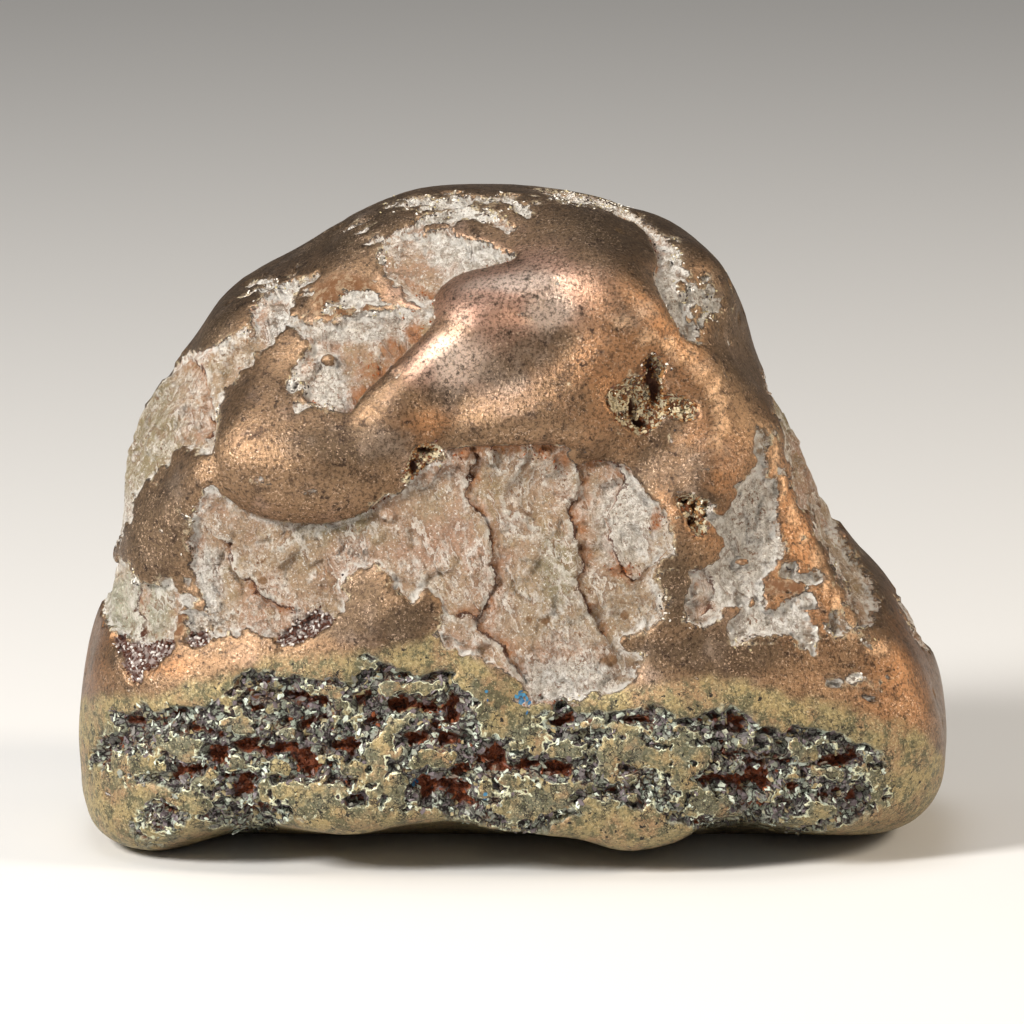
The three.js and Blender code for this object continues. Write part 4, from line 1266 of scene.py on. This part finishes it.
def strewing_tree(name, flatness, spread, jag=0.0):
    """A tree that strews small crystals over the faces of a mesh, thickest where its `strewn` mark is 1.

    Flat crystals are broken plates. They lie within the spread of flat, in radians, and the jag in mm
    pushes their corners about. Gives back the tree and the identifiers of its inputs.
    """
    t = Nodes(bpy.data.node_groups.new(name, "GeometryNodeTree"))
    sockets = {"Geometry": "Geometry", "Density": "Float", "Size": "Float", "Seed": "Int"}
    keys = {}
    for label, kind in {**sockets, "Material": "Material"}.items():
        socket = t.tree.interface.new_socket(label, in_out="INPUT", socket_type="NodeSocket" + kind)
        keys[label] = socket.identifier
    t.tree.interface.new_socket("Geometry", in_out="OUTPUT", socket_type="NodeSocketGeometry")
    source = t.add("NodeGroupInput").outputs
    strewn = t.add("GeometryNodeInputNamedAttribute", {"Name": "strewn"}, data_type="FLOAT").outputs
    density = t.add("ShaderNodeMath", {0: strewn["Attribute"], 1: source["Density"]}, operation="MULTIPLY")
    scattered = t.add(
        "GeometryNodeDistributePointsOnFaces",
        {"Mesh": source["Geometry"], "Density": density.outputs[0], "Seed": source["Seed"]},
    ).outputs
    if flatness < FLAT_PLATE:
        grain = t.add("GeometryNodeMeshCylinder", {"Vertices": 5, "Radius": 1.0, "Depth": 1.0})
    else:
        grain = t.add("GeometryNodeMeshIcoSphere", {"Radius": 1.0, "Subdivisions": 1})
    flat = t.add("GeometryNodeTransform", {"Geometry": grain.outputs["Mesh"], "Scale": (1.0, 0.72, flatness)})
    upright = t.add("FunctionNodeAlignRotationToVector", {"Vector": scattered["Normal"]}, axis="Z")

    def random_vector(low, high):
        inputs = {"Min": low, "Max": high, "Seed": source["Seed"]}
        return t.add("FunctionNodeRandomValue", inputs, data_type="FLOAT_VECTOR").outputs["Value"]

    toss = random_vector((-spread, -spread, -math.pi), (spread, spread, math.pi))
    tossed = t.add(
        "FunctionNodeRotateRotation",
        {"Rotation": upright.outputs["Rotation"], "Rotate By": toss},
        rotation_space="LOCAL",
    )
    size = random_vector((0.35, 0.35, 0.4), (1.6, 1.3, 1.3))
    scaled = t.add("ShaderNodeVectorMath", {0: size, "Scale": source["Size"]}, operation="SCALE")
    placed = t.add(
        "GeometryNodeInstanceOnPoints",
        {
            "Points": scattered["Points"],
            "Instance": flat.outputs["Geometry"],
            "Rotation": tossed.outputs["Rotation"],
            "Scale": scaled.outputs[0],
        },
    )
    chance = t.add("FunctionNodeRandomValue", {"Seed": source["Seed"]}, data_type="FLOAT").outputs[1]
    tinted = t.add(
        "GeometryNodeStoreNamedAttribute",
        {"Geometry": placed.outputs["Instances"], "Name": "tint", "Value": chance},
        data_type="FLOAT",
        domain="INSTANCE",
    )
    shape = t.add("GeometryNodeRealizeInstances", {"Geometry": tinted.outputs["Geometry"]})
    if jag:
        corner = t.add("GeometryNodeInputPosition").outputs["Position"]
        wild = t.add("ShaderNodeTexNoise", {"Vector": corner, "Scale": 1 / (JAG_SIZE * MM)}).outputs["Color"]
        push = t.add("ShaderNodeVectorMath", {0: wild, 1: (0.5, 0.5, 0.5)}, operation="SUBTRACT").outputs[0]
        offset = t.add("ShaderNodeVectorMath", {0: push, "Scale": 2 * jag * MM}, operation="SCALE").outputs[0]
        whole = shape.outputs["Geometry"]
        shape = t.add("GeometryNodeSetPosition", {"Geometry": whole, "Offset": offset})
    finished = t.add(
        "GeometryNodeSetMaterial",
        {"Geometry": shape.outputs["Geometry"], "Material": source["Material"]},
    )
    t.add("NodeGroupOutput", {"Geometry": finished.outputs["Geometry"]})
    return t.tree, keys


def show_piece(name, mesh, material):
    """Puts a finished mesh in the scene as a piece that rides with the lump."""
    piece = bpy.data.objects.new(name, mesh)
    bpy.context.scene.collection.objects.link(piece)
    mesh.materials.clear()
    mesh.materials.append(material)
    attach(piece, BODY)
    return piece


def strew(name, slot, material, marks, density, size, seed, **shape):
    """Strews grains over the finished lump by the marks, as one piece, and finishes the operator.

    The density is in grains to a square mm, the size in mm, and the shape is what strewing_tree takes.
    """
    ground = bpy.data.objects[NODULE].data.copy()
    add_marks(ground, marks)
    holder = bpy.data.objects.new(name, ground)
    bpy.context.scene.collection.objects.link(holder)
    modifier = holder.modifiers.new("grains", "NODES")
    modifier.node_group, keys = strewing_tree(name.replace("_", " "), **shape)
    inputs = {"Density": density / MM**2, "Size": size * MM, "Seed": seed, "Material": material}
    for label, value in inputs.items():
        modifier[keys[label]] = value
    evaluated = holder.evaluated_get(bpy.context.evaluated_depsgraph_get())
    mesh = bpy.data.meshes.new_from_object(evaluated)
    mesh.name = name
    corners = np.empty(len(mesh.vertices) * 3, np.float32)
    mesh.vertices.foreach_get("co", corners)
    corners[2::3] = corners[2::3].clip(0, None)  # the last few that reach through the floor stop at it
    mesh.vertices.foreach_set("co", corners)
    holder.modifiers.remove(modifier)
    bpy.data.objects.remove(holder)
    show_piece(name, mesh, material)
    return {"FINISHED"}


# ---------------------------------------------------------------------------------------------------
# Operators
# ---------------------------------------------------------------------------------------------------


class SPECIMEN_OT_nodule(bpy.types.Operator):
    """The lump itself, with its quartz, folds, ledges and eaten foot"""

    bl_idname = "specimen.nodule"
    bl_label = "Nodule"

    def execute(self, context):
        settings = context.scene.specimen_surface
        points, triangles = fine_surface(settings)
        normals = normals_of(points, triangles)
        marks, form = mineral_marks(points, normals, settings)
        points = points + normals * relief(points, marks, form, settings)[:, None]
        points[:, 2] = points[:, 2].clip(0, None)
        mesh = mesh_from(NODULE, points, triangles)
        add_marks(mesh, marks)
        nodule = show_piece(NODULE, mesh, nodule_material(context.scene.specimen_metal))
        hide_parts(NODE)
        return {"FINISHED"}


def values_of(name):
    """A mark of the finished lump, at each of its points."""
    mesh = bpy.data.objects[NODULE].data
    values = np.empty(len(mesh.vertices), np.float32)
    mesh.attributes[name].data.foreach_get("value", values)
    return values


def above_floor():
    """Fades to 0 beside the floor, so that nothing strewn there reaches through it."""
    return smoothstep(0.6, 0.9, places_of(bpy.data.objects[NODULE].data)[:, 2])


class SPECIMEN_OT_crust(bpy.types.Operator):
    """Small plates all over the eaten foot, grey-green above and rusty in the pits"""

    bl_idname = "specimen.crust"
    bl_label = "Crust Plates"

    def execute(self, context):
        look = context.scene.specimen_grains
        eaten = smoothstep(-0.05, 0.25, -values_of("solid")) * smoothstep(0, 0.2, values_of("porous"))
        eaten *= above_floor()
        pit = values_of("pit")
        marks = {"strewn": eaten * (1 - 0.75 * pit), "deep": pit}
        return strew(
            "crust_plates", "crust", crust_material(), marks, density=look.crust_density,
            size=look.crust_size, seed=look.seed, flatness=0.2, spread=0.42, jag=0.35,
        )


class SPECIMEN_OT_pit_crystals(bpy.types.Operator):
    """Small rusty red crystals that line the pits of the foot"""

    bl_idname = "specimen.pit_crystals"
    bl_label = "Pit Crystals"

    def execute(self, context):
        look = context.scene.specimen_grains
        marks = {"strewn": values_of("pit") * smoothstep(0, 0.3, values_of("porous")) * above_floor()}
        material = coloured_grains("rusty crystals", (0.06, 0.015, 0.008), (0.26, 0.07, 0.02), 0.3)
        return strew(
            "pit_crystals", "rust", material, marks, density=5.0,
            size=0.2, seed=look.seed + 2, flatness=0.7, spread=1.2,
        )


class SPECIMEN_OT_druse(bpy.types.Operator):
    """Glittering crystals in the druses and in the vugs"""

    bl_idname = "specimen.druse"
    bl_label = "Druse Crystals"

    def execute(self, context):
        look = context.scene.specimen_grains
        frosted = smoothstep(0, 0.2, np.maximum(values_of("druse"), values_of("vug")))
        frosted *= 1 - 0.9 * smoothstep(0.2, 0.5, values_of("pit"))
        marks = {"strewn": frosted, "golden": smoothstep(0, 0.1, values_of("vug")) * (1 + values_of("gilt"))}
        return strew(
            "druse_crystals", "quartz", druse_material(), marks, density=18.0,
            size=look.druse_size, seed=look.seed + 1, flatness=0.8, spread=1.2,
        )


class SPECIMEN_OT_crumbs(bpy.types.Operator):
    """Grains along the crumbling edges of the quartz: mostly white, some yellow, dark or rusty"""

    bl_idname = "specimen.crumbs"
    bl_label = "Edge Crumbs"

    def execute(self, context):
        look = context.scene.specimen_grains
        quartz = values_of("quartz")
        edge = np.exp(-(((quartz - 0.05) / 0.24) ** 2))
        # The rust mark also holds the painted shade under the lips, so rusty crumbs are strewn there too.
        rust = smoothstep(0.1, 0.5, values_of("rust")) * smoothstep(-0.1, 0.1, quartz)
        crumbly = smoothstep(0.3, 0.8, values_of("crumbly"))
        groups = smoothstep(-0.1, 0.3, lumps(places_of(bpy.data.objects[NODULE].data), 1.6, 21, 3))
        strewn = np.maximum(edge * crumbly * groups, 0.5 * rust * groups)
        strewn *= smoothstep(0.2, -0.2, values_of("porous"))
        return strew(
            "edge_crumbs", "quartz", crumb_material(), {"strewn": strewn, "rusty": rust},
            density=look.crumb_density, size=look.crumb_size, seed=look.seed + 4, flatness=0.45, spread=0.8,
        )


class SPECIMEN_OT_azurite(bpy.types.Operator):
    """A few blue specks of azurite along the foot"""

    bl_idname = "specimen.azurite"
    bl_label = "Azurite Specks"

    def execute(self, context):
        look = context.scene.specimen_grains
        marks = {"strewn": smoothstep(0.3, 0.6, values_of("azurite"))}
        material = coloured_grains("azurite", (0.015, 0.08, 0.22), (0.06, 0.24, 0.40), 0.5)
        return strew(
            "azurite_specks", "azurite", material, marks, density=9.0,
            size=0.22, seed=look.seed + 3, flatness=0.28, spread=0.3,
        )


# The soft lights: name, place and size in metres, power in watts and colour. All face the lump.
LIGHTS = [
    ("left softbox", (-0.29, -0.235, 0.27), (0.1, 0.14), 2.75, (1, 0.96, 0.9)),
    ("right softbox", (0.38, -0.12, 0.28), (0.09, 0.13), 1.15, (1, 0.87, 0.7)),
    ("left edge", (-0.42, 0.16, 0.12), (0.12, 0.25), 0.25, (1, 0.93, 0.8)),
    ("right edge", (0.42, 0.14, 0.14), (0.12, 0.25), 0.3, (1, 0.86, 0.68)),
    ("top softbox", (-0.05, 0.04, 0.6), (0.3, 0.3), 0.9, (1, 1, 1)),
    ("front fill", (0.1, -0.8, 0.3), (0.3, 0.3), 0.35, (1, 1, 1)),
]
LIT_POINT = Vector((0, 0, 0.02))
CAMERA_AIM = Vector((-0.00014, 0, 0.0222))
WORLD_COLOUR = (1, 0.97, 0.93, 1)
WORLD_STRENGTH = 0.13
FILM_WIDTH = 36  # the width in mm that a camera's focal length is measured against


class SPECIMEN_OT_studio(bpy.types.Operator):
    """A plain pale floor, soft lights and the camera"""

    bl_idname = "specimen.studio"
    bl_label = "Studio"

    def execute(self, context):
        studio = context.scene.specimen_studio
        self.make_floor(studio)
        self.make_lights(context)
        self.make_camera(context, studio)
        return {"FINISHED"}

    def make_floor(self, studio):
        angles = np.linspace(0, 2 * math.pi, 64, endpoint=False)
        rim = [(studio.floor_radius * math.cos(a), studio.floor_radius * math.sin(a), 0) for a in angles]
        mesh = bpy.data.meshes.new("floor")
        mesh.from_pydata(rim, [], [tuple(range(len(rim)))])
        floor = bpy.data.objects.new("floor", mesh)
        bpy.context.scene.collection.objects.link(floor)
        mesh.materials.append(Shader("pale floor").finish(base_color=(0.78, 0.78, 0.78), roughness=0.6))

    def make_lights(self, context):
        world = bpy.data.worlds.new("studio")
        world.use_nodes = True
        background = world.node_tree.nodes["Background"].inputs
        background["Color"].default_value = WORLD_COLOUR
        background["Strength"].default_value = WORLD_STRENGTH
        context.scene.view_settings.view_transform = "Standard"
        context.scene.world = world
        for name, place, size, power, colour in LIGHTS:
            light = bpy.data.lights.new(name, "AREA")
            light.energy, light.color = power, colour
            light.shape = "RECTANGLE"
            light.size, light.size_y = size
            lamp = bpy.data.objects.new(name, light)
            lamp.location = place
            lamp.rotation_euler = (LIT_POINT - Vector(place)).to_track_quat("-Z", "Y").to_euler()
            context.scene.collection.objects.link(lamp)

    def make_camera(self, context, studio):
        data = bpy.data.cameras.new("camera")
        data.lens = FILM_WIDTH * studio.camera_distance / studio.view_width
        data.clip_start = 0.01
        camera = bpy.data.objects.new("camera", data)
        away = Vector((0, -math.cos(DISPLAY_TILT), math.sin(DISPLAY_TILT)))
        camera.location = CAMERA_AIM + away * studio.camera_distance
        camera.rotation_euler = (-away).to_track_quat("-Z", "Y").to_euler()
        context.scene.collection.objects.link(camera)
        context.scene.camera = camera


class SPECIMEN_PT_parts(bpy.types.Panel):
    """Lists the pieces and what can be changed about them"""

    bl_idname = "SPECIMEN_PT_parts"
    bl_label = "Domeykite Specimen"
    bl_space_type = "VIEW_3D"
    bl_region_type = "UI"
    bl_category = "Specimen"

    def draw(self, context):
        for operator in OPERATORS:
            self.layout.operator(operator.bl_idname)
        for group in GROUPS:
            settings = getattr(context.scene, group)
            for name in GROUPS[group].__annotations__:
                self.layout.prop(settings, name)


GROUPS = {
    "specimen_surface": SpecimenSurface,
    "specimen_metal": SpecimenMetal,
    "specimen_grains": SpecimenGrains,
    "specimen_studio": SpecimenStudio,
}
OPERATORS = [
    SPECIMEN_OT_nodule,
    SPECIMEN_OT_crust,
    SPECIMEN_OT_pit_crystals,
    SPECIMEN_OT_druse,
    SPECIMEN_OT_crumbs,
    SPECIMEN_OT_azurite,
    SPECIMEN_OT_studio,
]


def register():
    for cls in (*GROUPS.values(), *OPERATORS, SPECIMEN_PT_parts):
        bpy.utils.register_class(cls)
    for name, cls in GROUPS.items():
        setattr(bpy.types.Scene, name, PointerProperty(type=cls))


def unregister():
    for name in GROUPS:
        delattr(bpy.types.Scene, name)
    for cls in reversed((*GROUPS.values(), *OPERATORS, SPECIMEN_PT_parts)):
        bpy.utils.unregister_class(cls)


def main():
    register()
    bpy.ops.specimen.nodule()
    bpy.ops.specimen.crust()
    bpy.ops.specimen.pit_crystals()
    bpy.ops.specimen.druse()
    bpy.ops.specimen.crumbs()
    bpy.ops.specimen.azurite()
    bpy.ops.specimen.studio()


if __name__ == "__main__":
    main()
